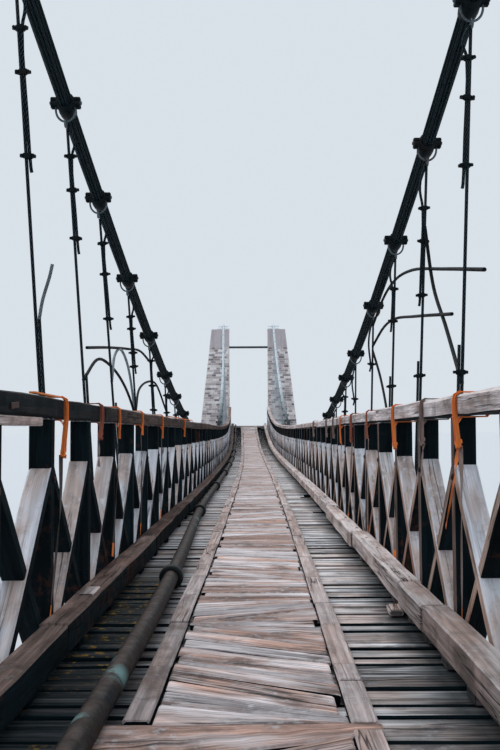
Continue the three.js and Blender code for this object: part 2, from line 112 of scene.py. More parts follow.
OUTER_BATTER = 1 / 8.8
FACE_BATTER = 1 / 14
PIPE_RADIUS = 0.055
SLEEVE_RADIUS = 0.09
PIPE_NEAR_X = -0.6
PIPE_FAR_X = -0.82
PIPE_BEND = (-21, -11)
COUPLING_FIRST = -24.25
COUPLING_SPACING = 5.5
COUPLING_HALF = 0.05
# Where patches of the pipe's old paint are left
PAINT_SPOTS = [(-0.43, -21.5, 0.06), (-0.36, -22.6, 0.06), (-0.35, -22.35, 0.07)]
# Past these places along the bridge the steel turns paler: a painted sheen of the bright sky.
FAR_SKY_SHEEN = (8, 17)
STRAP_THICK = 0.003

ACROSS = Vector((1, 0, 0))
ALONG = Vector((0, 1, 0))
UP = Vector((0, 0, 1))
SIDES = {-1: "left", 1: "right"}
ENDS = {-1: "near", 1: "far"}


def place(point):
    """A real place, from the walkway's near end, as a place in the model."""
    return (point[0] * SCALE, point[1] * SCALE, (point[2] - GROUND) * SCALE)


def bow_at(y):
    return SIDE_BOW * (1 - (y / HALF) ** 2)


def grade_at(y):
    s = (y + HALF) / SPAN
    return DECK_SWEEP * s**SWEEP_POWER - DECK_FALL * s


def between_stations(curve, y):
    i = min(max(bisect.bisect_left(STATIONS, y), 1), len(STATIONS) - 1)
    a, b = STATIONS[i - 1], STATIONS[i]
    return curve(a) + (curve(b) - curve(a)) * (y - a) / (b - a)


def deck(x, y, z):
    """A place given from the deck's own line."""
    return Vector((x + between_stations(bow_at, y), y, z + between_stations(grade_at, y)))


def lerp(a, b, t):
    return a + (b - a) * t


def smooth(t):
    t = min(max(t, 0), 1)
    return t * t * (3 - 2 * t)


def linked(name, data):
    """A new object in the scene."""
    made = bpy.data.objects.new(name, data)
    bpy.context.scene.collection.objects.link(made)
    return made


# Camera
CAMERA_PLACE = (0.10, -25.3, 1.083)
CAMERA_PITCH = 3.28
CAMERA_YAW = -0.01
CAMERA_ROLL = 0.3
FOCAL_PIXELS = 868
FRAME_HEIGHT = 750
SENSOR = 36

camera_data = bpy.data.cameras.new("camera")
camera_data.sensor_width = SENSOR
camera_data.lens = FOCAL_PIXELS / FRAME_HEIGHT * SENSOR
camera_data.clip_start = 0.05
camera_data.clip_end = 400
camera = linked("camera", camera_data)
turn = (
    Matrix.Rotation(math.radians(-CAMERA_YAW), 4, "Z")
    @ Matrix.Rotation(math.radians(90 + CAMERA_PITCH), 4, "X")
    @ Matrix.Rotation(math.radians(-CAMERA_ROLL), 4, "Z")
)
camera.matrix_world = Matrix.Translation(place(CAMERA_PLACE)) @ turn
bpy.context.scene.camera = camera


# Main cables and the hangers' ends
SLOPE_AT_SADDLE = math.atan(4 * CABLE_SAG / SPAN)
ARC_REACH = SADDLE_RADIUS * math.sin(SLOPE_AT_SADDLE)
SAG_RATE = CABLE_SAG / HALF**2
ARC_TOP = (
    CABLE_LOW_POINT
    + SAG_RATE * (HALF - ARC_REACH) ** 2
    + SADDLE_RADIUS * (1 - math.cos(SLOPE_AT_SADDLE))
)
ARC_STEPS = 10
BACKSTAY_STEPS = 6
ANCHOR_HIGH = 1.3
ANCHOR_FACE_LOW = 0.5
ANCHOR_SEAT_Z = GROUND + (ANCHOR_HIGH + ANCHOR_FACE_LOW) / 2
ANCHOR_BACK = 10.9
ANCHOR_REACH = 2.35


def cable_x(y):
    return lerp(CABLE_X_MIDDLE, CABLE_X_TOWER, min(abs(y) / HALF, 1) ** 2)


def cable_z(y):
    return CABLE_LOW_POINT + SAG_RATE * y * y


def half_cable(spacing):
    """Places along and up, from mid-span over the far saddle to the anchor."""
    count = int(CURVE_END / spacing)
    points = [(i * CURVE_END / count, cable_z(i * CURVE_END / count)) for i in range(count + 1)]
    for i in range(ARC_STEPS + 1):
        angle = lerp(-SLOPE_AT_SADDLE, BACKSTAY_ANGLE, i / ARC_STEPS)
        drop = SADDLE_RADIUS * (1 - math.cos(angle))
        points.append((HALF + SADDLE_RADIUS * math.sin(angle), ARC_TOP - drop))
    y, z = points[-1]
    run = (z - ANCHOR_SEAT_Z) / math.tan(BACKSTAY_ANGLE)
    shares = [i / BACKSTAY_STEPS for i in range(1, BACKSTAY_STEPS + 1)]
    return points + [(y + run * share, lerp(z, ANCHOR_SEAT_Z, share)) for share in shares]


ANCHOR_SEAT_Y = half_cable(3)[-1][0]


def cable_line(side, spacing):
    half = half_cable(spacing)
    line = [(-y, z) for y, z in half[:0:-1]] + half
    return [Vector((side * cable_x(y) + (bow_at(y) if abs(y) < HALF else 0), y, z)) for y, z in line]


def hanger_ends(side, number):
    station = number * HANGER_SPACING
    foot_z = between_stations(grade_at, station) + TRANSOM_TOP
    usual = max(BAND_CREEP[side] * (cable_z(station) - foot_z), -MOST_CREEP)
    lean = KNOWN_LEANS[side].get(number, usual)
    limit = (HANGERS_A_SIDE / 2 - 1 / 4) * HANGER_SPACING
    y = min(max(station + lean, -limit), limit)
    head = Vector((side * cable_x(y) + bow_at(y), y, cable_z(y)))
    return deck(side * HANGER_FOOT_X, station, TRANSOM_TOP), head


# Looks
def rgb(red, green, blue):
    """A colour as seen on a screen, 0 to 255, as scene light."""
    parts = [value / 255 for value in (red, green, blue)]
    return (*[v / 12.92 if v <= 0.04045 else ((v + 0.055) / 1.055) ** 2.4 for v in parts], 1.0)


class Look:
    """Makes one material's nodes. Plain colours are given as seen on a screen, 0 to 255."""

    def __init__(self, name, specular, metallic=0.0):
        self.made = bpy.data.materials.new(name)
        self.made.use_nodes = True
        self.tree = self.made.node_tree
        self.shader = self.tree.nodes["Principled BSDF"].inputs
        self.shader["Specular IOR Level"].default_value = specular
        self.shader["Metallic"].default_value = metallic

    def node(self, kind, inputs=None, **settings):
        made = self.tree.nodes.new("ShaderNode" + kind)
        for key, value in settings.items():
            setattr(made, key, value)
        for key, value in (inputs or {}).items():
            if isinstance(value, bpy.types.NodeSocket):
                self.tree.links.new(value, made.inputs[key])
            else:
                made.inputs[key].default_value = value
        return made.outputs

    def mix(self, factor, a, b, blend="MIX"):
        a, b = (rgb(*colour) if isinstance(colour, tuple) else colour for colour in (a, b))
        return self.node("Mix", {0: factor, 6: a, 7: b}, data_type="RGBA", blend_type=blend)[2]

    def maths(self, operation, a, b=0.0):
        return self.node("Math", {0: a, 1: b}, operation=operation)[0]

    def times(self, *values):
        product = values[0]
        for value in values[1:]:
            product = self.maths("MULTIPLY", product, value)
        return product

    def total(self, *parts):
        """The sum of the parts, each a value and what it is multiplied by."""
        whole = self.times(*parts[0])
        for part in parts[1:]:
            whole = self.maths("ADD", whole, self.times(*part))
        return whole

    def ramp(self, factor, stops):
        made = self.node("ValToRGB", {0: factor})[0]
        elements = made.node.color_ramp.elements
        while len(elements) < len(stops):
            elements.new(0.5)
        for element, (where, colour) in zip(elements, stops):
            element.position = where
            element.color = rgb(*colour)
        return made

    def level(self, factor, low, high, to_low=0.0, to_high=1.0):
        return self.node("MapRange", {0: factor, 1: low, 2: high, 3: to_low, 4: to_high})[0]

    def noise(self, vector, scale, detail, roughness=0.5, distortion=0.0):
        inputs = {"Vector": vector, "Scale": scale, "Detail": detail, "Roughness": roughness}
        return self.node("TexNoise", {**inputs, "Distortion": distortion})[0]

    def position(self):
        return self.node("NewGeometry")["Position"]

    def split(self, vector):
        return self.node("SeparateXYZ", {0: vector})

    def attribute(self, name):
        return self.node("Attribute", attribute_name=name)["Fac"]

    def read_grain(self):
        """Places along and across each part's grain, in real metres, and the part's own tone."""
        split = self.split(self.node("UVMap", uv_map="grain")[0])
        self.grain_places = [split[0], split[1], self.attribute("tone")]

    def grain(self, scales, detail, roughness=0.5, distortion=0.0):
        """Noise stretched along the grain. Scales are for places along and across it, and for the tone."""
        parts = [self.times(*pair) for pair in zip(self.grain_places, scales)]
        vector = self.node("CombineXYZ", dict(enumerate(parts)))[0]
        return self.noise(vector, 1, detail, roughness, distortion)

    def finish(self, colour, roughness, height, strength, distance):
        """Sets the shader. Roughness is a number where it is the same all over."""
        bump = self.node("Bump", {"Height": height, "Strength": strength, "Distance": distance})[0]
        for name, value in (("Base Color", colour), ("Roughness", roughness), ("Normal", bump)):
            if isinstance(value, float):
                self.shader[name].default_value = value
            else:
                self.tree.links.new(value, self.shader[name])
        return self.made


def timber(name, pale, warm, dark, specular, roughness=0.7, bloom=0.1, contrast=1.0, stains=0.7, rust=0.0,
           moss=0.0, patch=1.0, varied=0.22):
    """Old bare timber: warm patches and pale ones, streaks along the grain, stains and dark checks, and the
    darkening marked on each part, which is dirt and end grain in some places and painted shade in others.
    """
    look = Look(name, specular)
    look.read_grain()
    tone = look.grain_places[2]
    where = look.position()
    cut = look.attribute("cut")
    patches = look.grain((1.4 * patch, 5 * patch, 40), 3, 0.5, 0.6)
    runs = look.grain((1.5, 13, 23), 4, 0.6, 0.5)
    streak = look.grain((0.9, 34, 60), 5, 0.68, 0.3)
    fibre = look.grain((5, 150, 60), 3, 0.6, 0.2)
    lines = look.grain((0.8, 21, 90), 3, 0.5, 0.15)
    blotch = look.noise(where, 9, 5, 0.65)
    broad = look.noise(where, 2.4, 3, 0.55)
    fleck = look.noise(where, 34, 4, 0.7)
    warmth = look.total((patches,), (look.level(tone, 0, 1, -0.12, 0.12),))
    colour = look.mix(look.level(warmth, 0.4, 0.6), pale, warm)
    own = look.maths("FRACT", look.times(tone, 7.3))
    shade = look.times(
        look.level(own, 0, 1, 1 - varied * contrast, 1 + 0.1 * contrast),
        look.level(streak, 0.4, 0.6, 1 - 0.34 * contrast, 1 + 0.22 * contrast),
        look.level(fibre, 0.38, 0.62, 1 - 0.22 * contrast, 1 + 0.14 * contrast),
        look.level(runs, 0.5, 0.64, 1.0, 1 - 0.44 * contrast),
        look.level(runs, 0.34, 0.48, 1 + 0.26 * contrast, 1.0),
    )
    colour = look.mix(1.0, colour, shade, "MULTIPLY")
    stain = look.total((blotch, 0.6), (patches, 0.4))
    colour = look.mix(look.level(stain, 0.52, 0.62, 0.0, stains), colour, dark)
    if bloom:
        frost = look.times(look.level(fleck, 0.53, 0.66), look.level(blotch, 0.45, 0.6, 0.0, bloom))
        colour = look.mix(frost, colour, (226, 228, 234))
    edge = look.times(look.attribute("edge"), look.level(fleck, 0.4, 0.6, 0.15, 0.7))
    colour = look.mix(edge, colour, pale)
    if rust:
        rusty = look.level(look.total((broad, 0.5), (fleck, 0.5)), 0.56, 0.66, 0.0, rust)
        colour = look.mix(rusty, colour, (112, 62, 42))
    # Darkening towards near black from the marks on each part: dirt and end grain, and painted shade where a
    # part is put in shade.
    dirt_and_shade_share = look.times(cut, look.level(streak, 0.4, 0.62, 1.0, 0.9))
    colour = look.mix(look.maths("POWER", dirt_and_shade_share, 0.7), colour, (6, 24, 30))
    if moss:
        left = look.level(look.split(where)[0], -0.3 * SCALE, -0.6 * SCALE)
        mossy = look.times(left, look.level(fleck, 0.55, 0.63), look.level(broad, 0.49, 0.58, 0.0, moss),
                           look.level(cut, 0.55, 0.85))
        colour = look.mix(mossy, colour, (158, 122, 46))
    black, white = (0, 0, 0), (255, 255, 255)
    crack = look.ramp(lines, [(0.474, black), (0.492, white), (0.508, white), (0.526, black)])
    crack = look.times(crack, look.level(look.grain((0.9, 5, 17), 2), 0.48, 0.6))
    colour = look.mix(look.times(crack, 0.85), colour, (16, 22, 26))
    damp = look.level(blotch, 0.35, 0.65, roughness + 0.12, roughness - 0.12)
    return look.finish(colour, damp, look.total((streak, 0.9), (fibre, 0.4), (crack, -1.3)), 0.9, 0.0024)


def metal(name, colour, other, rust, rust_share, metallic, roughness, specular, fine, strands=None, far=None):
    """Weathered metal with rust in patches. Strands give a rope its lay, with painted shade in its grooves
    and painted highlights on its strands. Far is a paler colour towards the far end, a painted sky sheen.
    """
    look = Look(name, specular, metallic)
    where = look.position()
    patch = look.noise(where, 9, 5, 0.65)
    specks = look.noise(where, fine, 4, 0.6)
    base = look.mix(look.level(specks, 0.35, 0.7), colour, other)
    rusty = look.level(look.total((patch,), (specks, 0.2)), 0.68 - rust_share * 0.2, 0.76)
    base = look.mix(rusty, base, rust)
    height = look.total((specks, 0.5), (patch, 0.5))
    if strands:
        turns, per_metre = strands
        look.read_grain()
        along, across, _ = look.grain_places
        wave = look.maths("SINE", look.times(look.total((along, per_metre), (across, turns)), 2 * math.pi))
        # Painted shade in the grooves between the strands and a painted highlight on each strand's crown.
        base = look.mix(look.level(wave, -1.0, 0.1, 0.7, 0.0), base, (3, 9, 12))
        base = look.mix(look.level(wave, 0.8, 1.0, 0.0, 0.6), base, (104, 126, 136))
        height = look.total((height,), (look.level(wave, -1.0, 0.3), 3.0))
    # Painted sky sheen: paler towards the far end.
    if far:
        base = look.mix(look.level(look.split(where)[1], *[y * SCALE for y in FAR_SKY_SHEEN]), base, far)
    damp = look.level(specks, 0.3, 0.7, roughness - 0.1, roughness + 0.15)
    return look.finish(base, damp, height, 0.7, 0.0015)


def pipe_metal(name):
    """Old painted pipe: brown grey, dust and a painted highlight along the top, with patches where the pale
    teal paint is left.
    """
    look = Look(name, 0.1)
    geometry = look.node("NewGeometry")
    where = geometry["Position"]
    patch = look.noise(where, 7, 5, 0.6)
    specks = look.noise(where, 60, 4, 0.65)
    streak = look.noise(where, 20, 4, 0.6, 0.4)
    colour = look.ramp(patch, [(0.34, (14, 24, 28)), (0.5, (44, 35, 32)), (0.66, (22, 29, 32))])
    # Dust and a painted highlight on the faces that look up.
    upward = look.level(look.split(geometry["Normal"])[2], 0.78, 0.99)
    colour = look.mix(look.times(upward, look.level(streak, 0.36, 0.6, 0.15, 0.6)), colour, (98, 86, 80))
    colour = look.mix(look.level(specks, 0.55, 0.7, 0.0, 0.4), colour, (74, 50, 42))
    paint = look.level(patch, 0.62, 0.67, 0.0, 0.6)
    for spot in PAINT_SPOTS:
        apart = look.node("VectorMath", {0: where, 1: place(spot)}, operation="DISTANCE")["Value"]
        close = look.times(look.level(apart, 0.02, 0.07, 1.0, 0.0), look.level(streak, 0.42, 0.52))
        paint = look.maths("MAXIMUM", paint, close)
    colour = look.mix(paint, colour, (112, 148, 148))
    height = look.total((specks, 0.4), (paint, 0.6))
    return look.finish(colour, look.level(specks, 0.3, 0.7, 0.45, 0.7), height, 0.6, 0.001)


def masonry(name, stones, darkening, streaked):
    """Stone or mortar: its tone changes from stone to stone, with dirt, pitting and streaks down it."""
    look = Look(name, 0.3)
    where = look.position()
    blotch = look.noise(where, 7, 5, 0.65)
    pits = look.noise(where, 70, 4, 0.6)
    base = look.total((look.attribute("tone"), 0.8), (blotch, 0.45))
    colour = look.ramp(base, [(0.2 + 0.8 * i / (len(stones) - 1), stone) for i, stone in enumerate(stones)])
    colour = look.mix(look.level(pits, 0.3, 0.6, 0.45, 0.0), colour, darkening)
    wide = [look.times(part, scale) for part, scale in zip(look.split(where), (9, 9, 0.9))]
    run = look.noise(look.node("CombineXYZ", dict(enumerate(wide)))[0], 1, 4, 0.6)
    colour = look.mix(look.level(run, 0.5, 0.7, 0.0, streaked), colour, darkening)
    height = look.total((pits, 0.5), (blotch, 1.2))
    return look.finish(colour, look.level(blotch, 0.3, 0.7, 0.75, 0.95), height, 0.8, 0.004)


def webbing(name, colour, faded, shade):
    """Woven strap, faded and dusty."""
    look = Look(name, 0.2)
    look.shader["Sheen Weight"].default_value = 0.2
    look.read_grain()
    weave = look.times(*[look.maths("SINE", look.times(part, 1500)) for part in look.grain_places[:2]])
    base = look.mix(look.level(look.grain((9, 60, 20), 4, 0.6), 0.42, 0.7), colour, faded)
    base = look.mix(look.level(weave, -1, 0.2, 0.3, 0.0), base, shade)
    return look.finish(base, 0.8, weave, 0.5, 0.0005)


# Timber: pale, warm and dark colours, specular level, roughness, then how strong each kind of wear is
WALKWAY_WOOD = timber("walkway_wood", (237, 228, 230), (206, 168, 153), (98, 80, 75), 0.1, 0.6, 0.6, 1.1,
                      0.75, varied=0.24)
STRIP_WOOD = timber("strip_wood", (212, 197, 195), (192, 168, 160), (128, 110, 104), 0.08, 0.65, 0.4, 0.7)
BASE_WOOD = timber("base_wood", (252, 252, 255), (230, 212, 206), (96, 98, 103), 0.05, 0.6, 0.75, 1.1,
                   moss=0.9, varied=0.26)
FRAME_WOOD = timber("frame_wood", (128, 118, 112), (98, 84, 78), (50, 44, 42), 0.3)
RIGHT_WOOD = timber("right_wood", (222, 211, 210), (198, 174, 165), (128, 110, 104), 0.1, 0.65, 0.5, 0.6,
                    0.55, 0.3)
# RIGHT_LIT and the other _LIT and _SHADE looks are painted light: darker copies of a timber for the side
# faces that the light reaches less.
RIGHT_LIT = timber("right_wood_painted_side_light", (208, 198, 199), (174, 151, 143), (82, 70, 68), 0.25, 0.7, 0.5,
                   rust=0.3)
KICK_LIT = timber("kick_wood_painted_side_light", (206, 191, 188), (184, 160, 153), (96, 84, 80), 0.1, contrast=0.8,
                  rust=0.2)
# LEFT_WOOD and LEFT_KICK_WOOD are darker than the right side's timber: painted shade over the left side, with
# rust of their own.
LEFT_WOOD = timber("left_wood", (164, 146, 139), (138, 104, 90), (48, 38, 36), 0.1, 0.65, 0.2, 0.9,
                   rust=0.5)
RAIL_SHADE = timber("left_rail_painted_shade", (88, 74, 68), (72, 54, 48), (26, 26, 28), 0.05, 0.75, 0.1, 0.9,
                    rust=0.4)
LEFT_KICK_WOOD = timber("left_kick_wood", (116, 98, 91), (92, 67, 58), (26, 26, 28), 0.08, 0.65, 0.15,
                        rust=0.4)
LEFT_LIT = timber("left_wood_painted_side_light", (118, 108, 106), (94, 76, 68), (46, 40, 40), 0.2)
BRACE_WOOD = timber("brace_wood", (214, 217, 225), (197, 180, 174), (98, 95, 98), 0.15, 0.6, 0.8, 0.5, 0.5,
                    0.35, patch=1.6)
BRACE_LIT = timber("brace_wood_painted_side_light", (176, 152, 140), (152, 116, 100), (70, 56, 52), 0.2, 0.7, 0.2, 0.8)
POST_LIT = timber("post_wood_painted_side_light", (112, 94, 88), (88, 68, 60), (36, 32, 32), 0.15, 0.75, 0.1, 0.9,
                  rust=0.3)
# Painted shade: near-black teal, put on the faces of the other timbers that are turned away from the light.
PAINTED_SHADE_WOOD = timber("painted_shade_wood", (18, 32, 38), (16, 24, 28), (6, 16, 20), 0.05, 0.8, 0.0, 0.9, rust=0.34)

# Metal: two colours and rust, the rust's share, metallic, roughness, specular level and the specks' scale
# Where given, the strands' lay and a far colour follow: the far colour is a painted sky sheen.
WIRE = metal("wire_rope", (2, 14, 19), (8, 24, 30), (16, 20, 23), 0.2, 0.0, 0.6, 0.04, 90,
             (97, 46), (230, 239, 245))
HANGER_WIRE = metal("hanger_rope", (3, 15, 20), (16, 28, 33), (32, 28, 28), 0.3, 0.0, 0.6, 0.05, 90,
                    (80, 30), (168, 180, 188))
LOOSE_WIRE = metal("loose_wire", (8, 18, 22), (24, 31, 35), (40, 33, 31), 0.4, 0.0, 0.6, 0.06, 90,
                   (60, 40))
PALE_WIRE = metal("pale_wire", (116, 128, 134), (150, 161, 166), (90, 80, 75), 0.4, 0.0, 0.6, 0.1, 90,
                  (60, 40))
FORGED = metal("forged_iron", (2, 14, 19), (8, 24, 30), (22, 22, 24), 0.2, 0.0, 0.55, 0.12, 110,
               far=(180, 192, 200))
SHACKLE = metal("shackle_steel", (60, 74, 82), (104, 118, 126), (70, 56, 50), 0.3, 0.4, 0.45, 0.4, 110,
                far=(180, 192, 200))
BOLT_IRON = metal("bolt_iron", (50, 44, 42), (34, 34, 35), (88, 54, 42), 0.6, 0.4, 0.6, 0.3, 160)
BEAM_STEEL = metal("beam_steel", (58, 74, 80), (84, 96, 100), (84, 62, 54), 0.4, 0.3, 0.5, 0.4, 80)
PIPE_STEEL = pipe_metal("pipe_steel")
COUPLING_IRON = metal("coupling_iron", (3, 13, 17), (12, 22, 26), (24, 24, 25), 0.3, 0.0, 0.55, 0.25, 80)
PALE_STEEL = metal("pale_steel", (242, 248, 252), (226, 234, 240), (170, 158, 148), 0.1, 0.0, 0.45, 0.5, 60)

STONE = masonry("coursed_stone", [(112, 104, 107), (176, 166, 168), (222, 212, 210), (252, 248, 247)],
                (108, 101, 104), 0.2)
RENDER = masonry("stone_render", [(190, 181, 184), (208, 200, 203), (222, 215, 217)], (158, 149, 152), 0.5)
MORTAR = masonry("mortar", [(232, 226, 224), (240, 236, 234), (246, 243, 242)], (190, 182, 180), 0.2)
ORANGE = webbing("orange_strap", (255, 136, 50), (236, 126, 66), (140, 62, 28))
RED = webbing("red_tie", (178, 92, 66), (150, 100, 84), (70, 40, 34))
BROWN = webbing("brown_strap", (150, 128, 120), (112, 94, 90), (50, 42, 42))
# Painted shade: a dark copy of the strap for tails that hang in shade.
SHADED = webbing("strap_painted_shade", (58, 48, 46), (78, 62, 56), (16, 20, 22))

# Shapes
END_DIRT = 0.55
SIDEWAYS = 0.45


class Piece:
    """Gathers the parts of one piece, with grain places and a tone for each part."""

    def __init__(self, name, seed):
        self.name = name
        self.rng = random.Random(seed)
        self.points, self.faces, self.grain, self.smooth, self.looks = [], [], [], [], []
        self.marks = {"tone": [], "edge": [], "cut": []}

    def face(self, ids, grain, tone, edge, cuts, smooth_shade, look):
        self.faces.append(ids)
        self.grain.extend(grain)
        self.marks["tone"].extend([tone] * len(ids))
        self.marks["edge"].extend([edge] * len(ids))
        self.marks["cut"].extend(cuts)
        self.smooth.append(smooth_shade)
        self.looks.append(look)

    def loft(self, rings, worn=False, tone=None, caps=True, smooth_shade=False, look=0, darkening=None):
        """Skins a run of rings. Worn marks every second face as an edge. Darkening, dirt and painted shade,
        is given ring by ring.
        """
        rng = self.rng
        tone = rng.random() if tone is None else tone
        u0, v0 = rng.uniform(0, 9), rng.uniform(0, 9)
        first = len(self.points)
        count = len(rings[0])
        darkening = darkening or [0.0] * len(rings)
        for ring in rings:
            self.points.extend(ring)
        round_to = [0.0]
        ring = rings[len(rings) // 2]
        for k in range(count):
            round_to.append(round_to[-1] + (ring[(k + 1) % count] - ring[k]).length)
        u = u0
        for i in range(len(rings) - 1):
            a = first + i * count
            b = a + count
            step = (sum(rings[i + 1], Vector()) - sum(rings[i], Vector())).length / count
            cuts = [darkening[i], darkening[i], darkening[i + 1], darkening[i + 1]]
            for k in range(count):
                n = (k + 1) % count
                v, w = v0 + round_to[k], v0 + round_to[k + 1]
                grain = [(u, v), (u, w), (u + step, w), (u + step, v)]
                ids = [a + k, a + n, b + n, b + k]
                self.face(ids, grain, tone, float(worn and k % 2), cuts, smooth_shade, look)
            u += step
        ends = (range(first, first + count)[::-1], range(len(self.points) - count, len(self.points)))
        for ids in ends if caps else ():
            centre = sum((self.points[i] for i in ids), Vector()) / count
            grain = [((self.points[i] - centre).x + u0, (self.points[i] - centre).z + v0) for i in ids]
            self.face(list(ids), grain, tone, 0.0, [END_DIRT] * count, False, look)

    def make(self, looks, nodes=(), dark=None, lit=None, side=0, upward=0.3):
        """Makes the object. Faces of the first look that face the sky less than upward get painted shade, the
        dark look, or where the sky beside the bridge reaches them painted side light, the lit look."""
        mesh = bpy.data.meshes.new(self.name)
        mesh.from_pydata([place(p) for p in self.points], [], self.faces)
        layer = mesh.uv_layers.new(name="grain")
        layer.data.foreach_set("uv", [value for pair in self.grain for value in pair])
        for label, values in self.marks.items():
            mesh.attributes.new(label, "FLOAT", "CORNER").data.foreach_set("value", values)
        mesh.polygons.foreach_set("use_smooth", self.smooth)
        mesh.polygons.foreach_set("material_index", self.looks)
        for look in [*looks, *[extra for extra in (dark, lit) if extra]]:
            mesh.materials.append(look)
        work = bmesh.new()
        work.from_mesh(mesh)
        bmesh.ops.recalc_face_normals(work, faces=work.faces)
        # Painted shade and painted light: faces turned away from the light get the dark look, other side
        # faces the lit one.
        if dark:
            for face in work.faces:
                normal = face.normal
                if face.material_index == 0 and normal.z < upward:
                    turned_from_light = min(normal.y, normal.z) < -SIDEWAYS or (side < 0 and normal.x > SIDEWAYS)
                    face.material_index = len(looks) + (0 if turned_from_light or not lit else 1)
        work.to_mesh(mesh)
        work.free()
        mesh.update()
        made = linked(self.name, mesh)
        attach(made, "root")
        if nodes:
            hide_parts(*nodes)
        return made


def numbered(stem, count):
    return [f"{stem}_{i}" for i in range(1, count + 1)]


def chamfered(w, h, corners):
    """An eight-sided section: a rectangle with its corners taken off."""
    a, b, c, d = corners
    return [(-w + a, -h), (w - b, -h), (w, -h + b), (w, h - c),
            (w - c, h), (-w + d, h), (-w, h - d), (-w, -h + a)]


def plank(piece, start, end, width, height, chamfer=0.007, steps=1, warp=0.0, up=UP, look=0, darkening=None):
    """A sawn timber or bar with worn corners from start to end, its top face turned to up."""
    rng = piece.rng
    start, end = Vector(start), Vector(end)
    length = (end - start).length
    along = (end - start) / length
    side = along.cross(up).normalized()
    top = side.cross(along)
    corners = [chamfer * rng.uniform(0.6, 1.7) for _ in range(4)]
    bends = [rng.uniform(-warp, warp) for _ in range(2)]
    inset = min(chamfer, length / 8)
    rings = []
    shares = [0, inset / length, *[k / steps for k in range(1, steps)], 1 - inset / length, 1]
    for t in shares:
        trim = inset * 0.8 if t in (0, 1) else 0
        lift = 4 * t * (1 - t)
        middle = start.lerp(end, t) + top * bends[0] * lift + side * bends[1] * lift
        worn = [c * rng.uniform(0.8, 1.25) for c in corners]
        section = chamfered(width / 2 - trim, height / 2 - trim, worn)
        rings.append([middle + side * x + top * y for x, y in section])
    piece.loft(rings, True, look=look, darkening=[darkening(start.lerp(end, t)) for t in shares] if darkening else None)


def steps_between(a, b, step):
    count = max(1, math.ceil((b - a) / step))
    return [lerp(a, b, i / count) for i in range(count + 1)]


def beam(piece, xs, zs, ends, step=0.5, chamfer=0.01, jitter=0.004, look=0, darkening=0.0):
    """A long timber that follows the deck between its ends. Its darkening, dirt and painted shade, is one
    number, or a function of y.
    """
    rng = piece.rng
    (x0, x1), (z0, z1) = sorted(xs), zs
    ys = steps_between(*ends, step)
    corners = [chamfer * rng.uniform(0.6, 1.8) for _ in range(4)]
    rings = []
    places = [ys[0], ys[0] + chamfer, *ys[1:-1], ys[-1] - chamfer, ys[-1]]
    for i, y in enumerate(places):
        at_end = i in (0, len(places) - 1)
        trim = chamfer * 0.8 if at_end else 0
        worn = [c * rng.uniform(0.7, 1.3) for c in corners]
        section = chamfered((x1 - x0) / 2 - trim, (z1 - z0) / 2 - trim, worn)
        dx, dz = (0, 0) if at_end else (rng.uniform(-jitter, jitter), rng.uniform(-jitter, jitter))
        middle = deck((x0 + x1) / 2 + dx, y, (z0 + z1) / 2 + dz)
        rings.append([middle + Vector((-a, 0, b)) for a, b in section])
    piece.loft(rings, True, look=look, darkening=[darkening(y) if callable(darkening) else darkening for y in places])


def in_lengths(piece, side, xs, zs, joints, known_shifts, wander, lower, gap, darkening):
    """A long timber along one side, in lengths that are a little out of line with each other."""
    rng = piece.rng
    for a, b in zip(joints, joints[1:]):
        shift = (known_shifts.get((side, a), 0) + rng.uniform(*wander)) * side
        heights = (zs[0], zs[1] - rng.uniform(0, lower))
        beam(piece, [side * x + shift for x in xs], heights, (a + gap, b - gap), darkening=darkening)


def ring_round(centre, side, top, radius, sides, turned=0.0):
    angles = [2 * math.pi * k / sides + turned for k in range(sides)]
    return [centre + side * (radius * math.cos(angle)) + top * (radius * math.sin(angle)) for angle in angles]


def way_at(points, i):
    return (points[min(i + 1, len(points) - 1)] - points[max(i - 1, 0)]).normalized()


def frames_along(points):
    """A place, side and top for every point of a line, without twist."""
    made = []
    side = None
    for i, point in enumerate(points):
        along = way_at(points, i)
        if side is None:
            side = along.cross(UP)
            if side.length < 1e-3:
                side = along.cross(ALONG)
        side = (side - along * side.dot(along)).normalized()
        made.append((point, side, side.cross(along)))
    return made


def tube(piece, points, radius, sides=8, look=0):
    """A round bar through the points. The radius is one number, or one for each point."""
    rings = []
    for i, (point, side, top) in enumerate(frames_along(points)):
        rings.append(ring_round(point, side, top, radius if isinstance(radius, float) else radius[i], sides))
    piece.loft(rings, smooth_shade=True, look=look)


def ribbon(piece, points, across, width, thick, looks):
    """A flat strap through the points. Across gives its width's direction at each of them."""
    rings = []
    for i, point in enumerate(points):
        along = way_at(points, i)
        wide = (across[i] - along * across[i].dot(along)).normalized()
        a, b = wide * width / 2, wide.cross(along) * thick / 2
        rings.append([point - a - b, point + a - b, point + a + b, point - a + b])
    tone = piece.rng.random()
    start = 0
    for i in range(1, len(points)):
        if i == len(points) - 1 or looks[i] != looks[start]:
            piece.loft(rings[start:i + 1], tone=tone, look=looks[start])
            start = i


def bolt(piece, centre, axis, radius, high, washer, look=0):
    """A hexagon bolt head on its washer, standing on a face whose outward normal is axis."""
    centre, axis = Vector(centre), Vector(axis).normalized()
    side = axis.orthogonal().normalized()
    top = axis.cross(side)
    turned = piece.rng.uniform(0, 1)
    tone = piece.rng.random()
    head = (6, turned, ((0.0, radius), (high * 0.8, radius), (high, radius * 0.82)))
    disc = (12, 0.0, ((-0.004, washer), (0.003, washer), (0.005, washer * 0.9)))
    for sides, turn_by, shape in (disc, head) if washer else (head,):
        rings = [ring_round(centre + axis * h, side, top, r, sides, turn_by) for h, r in shape]
        piece.loft(rings, tone=tone, look=look)


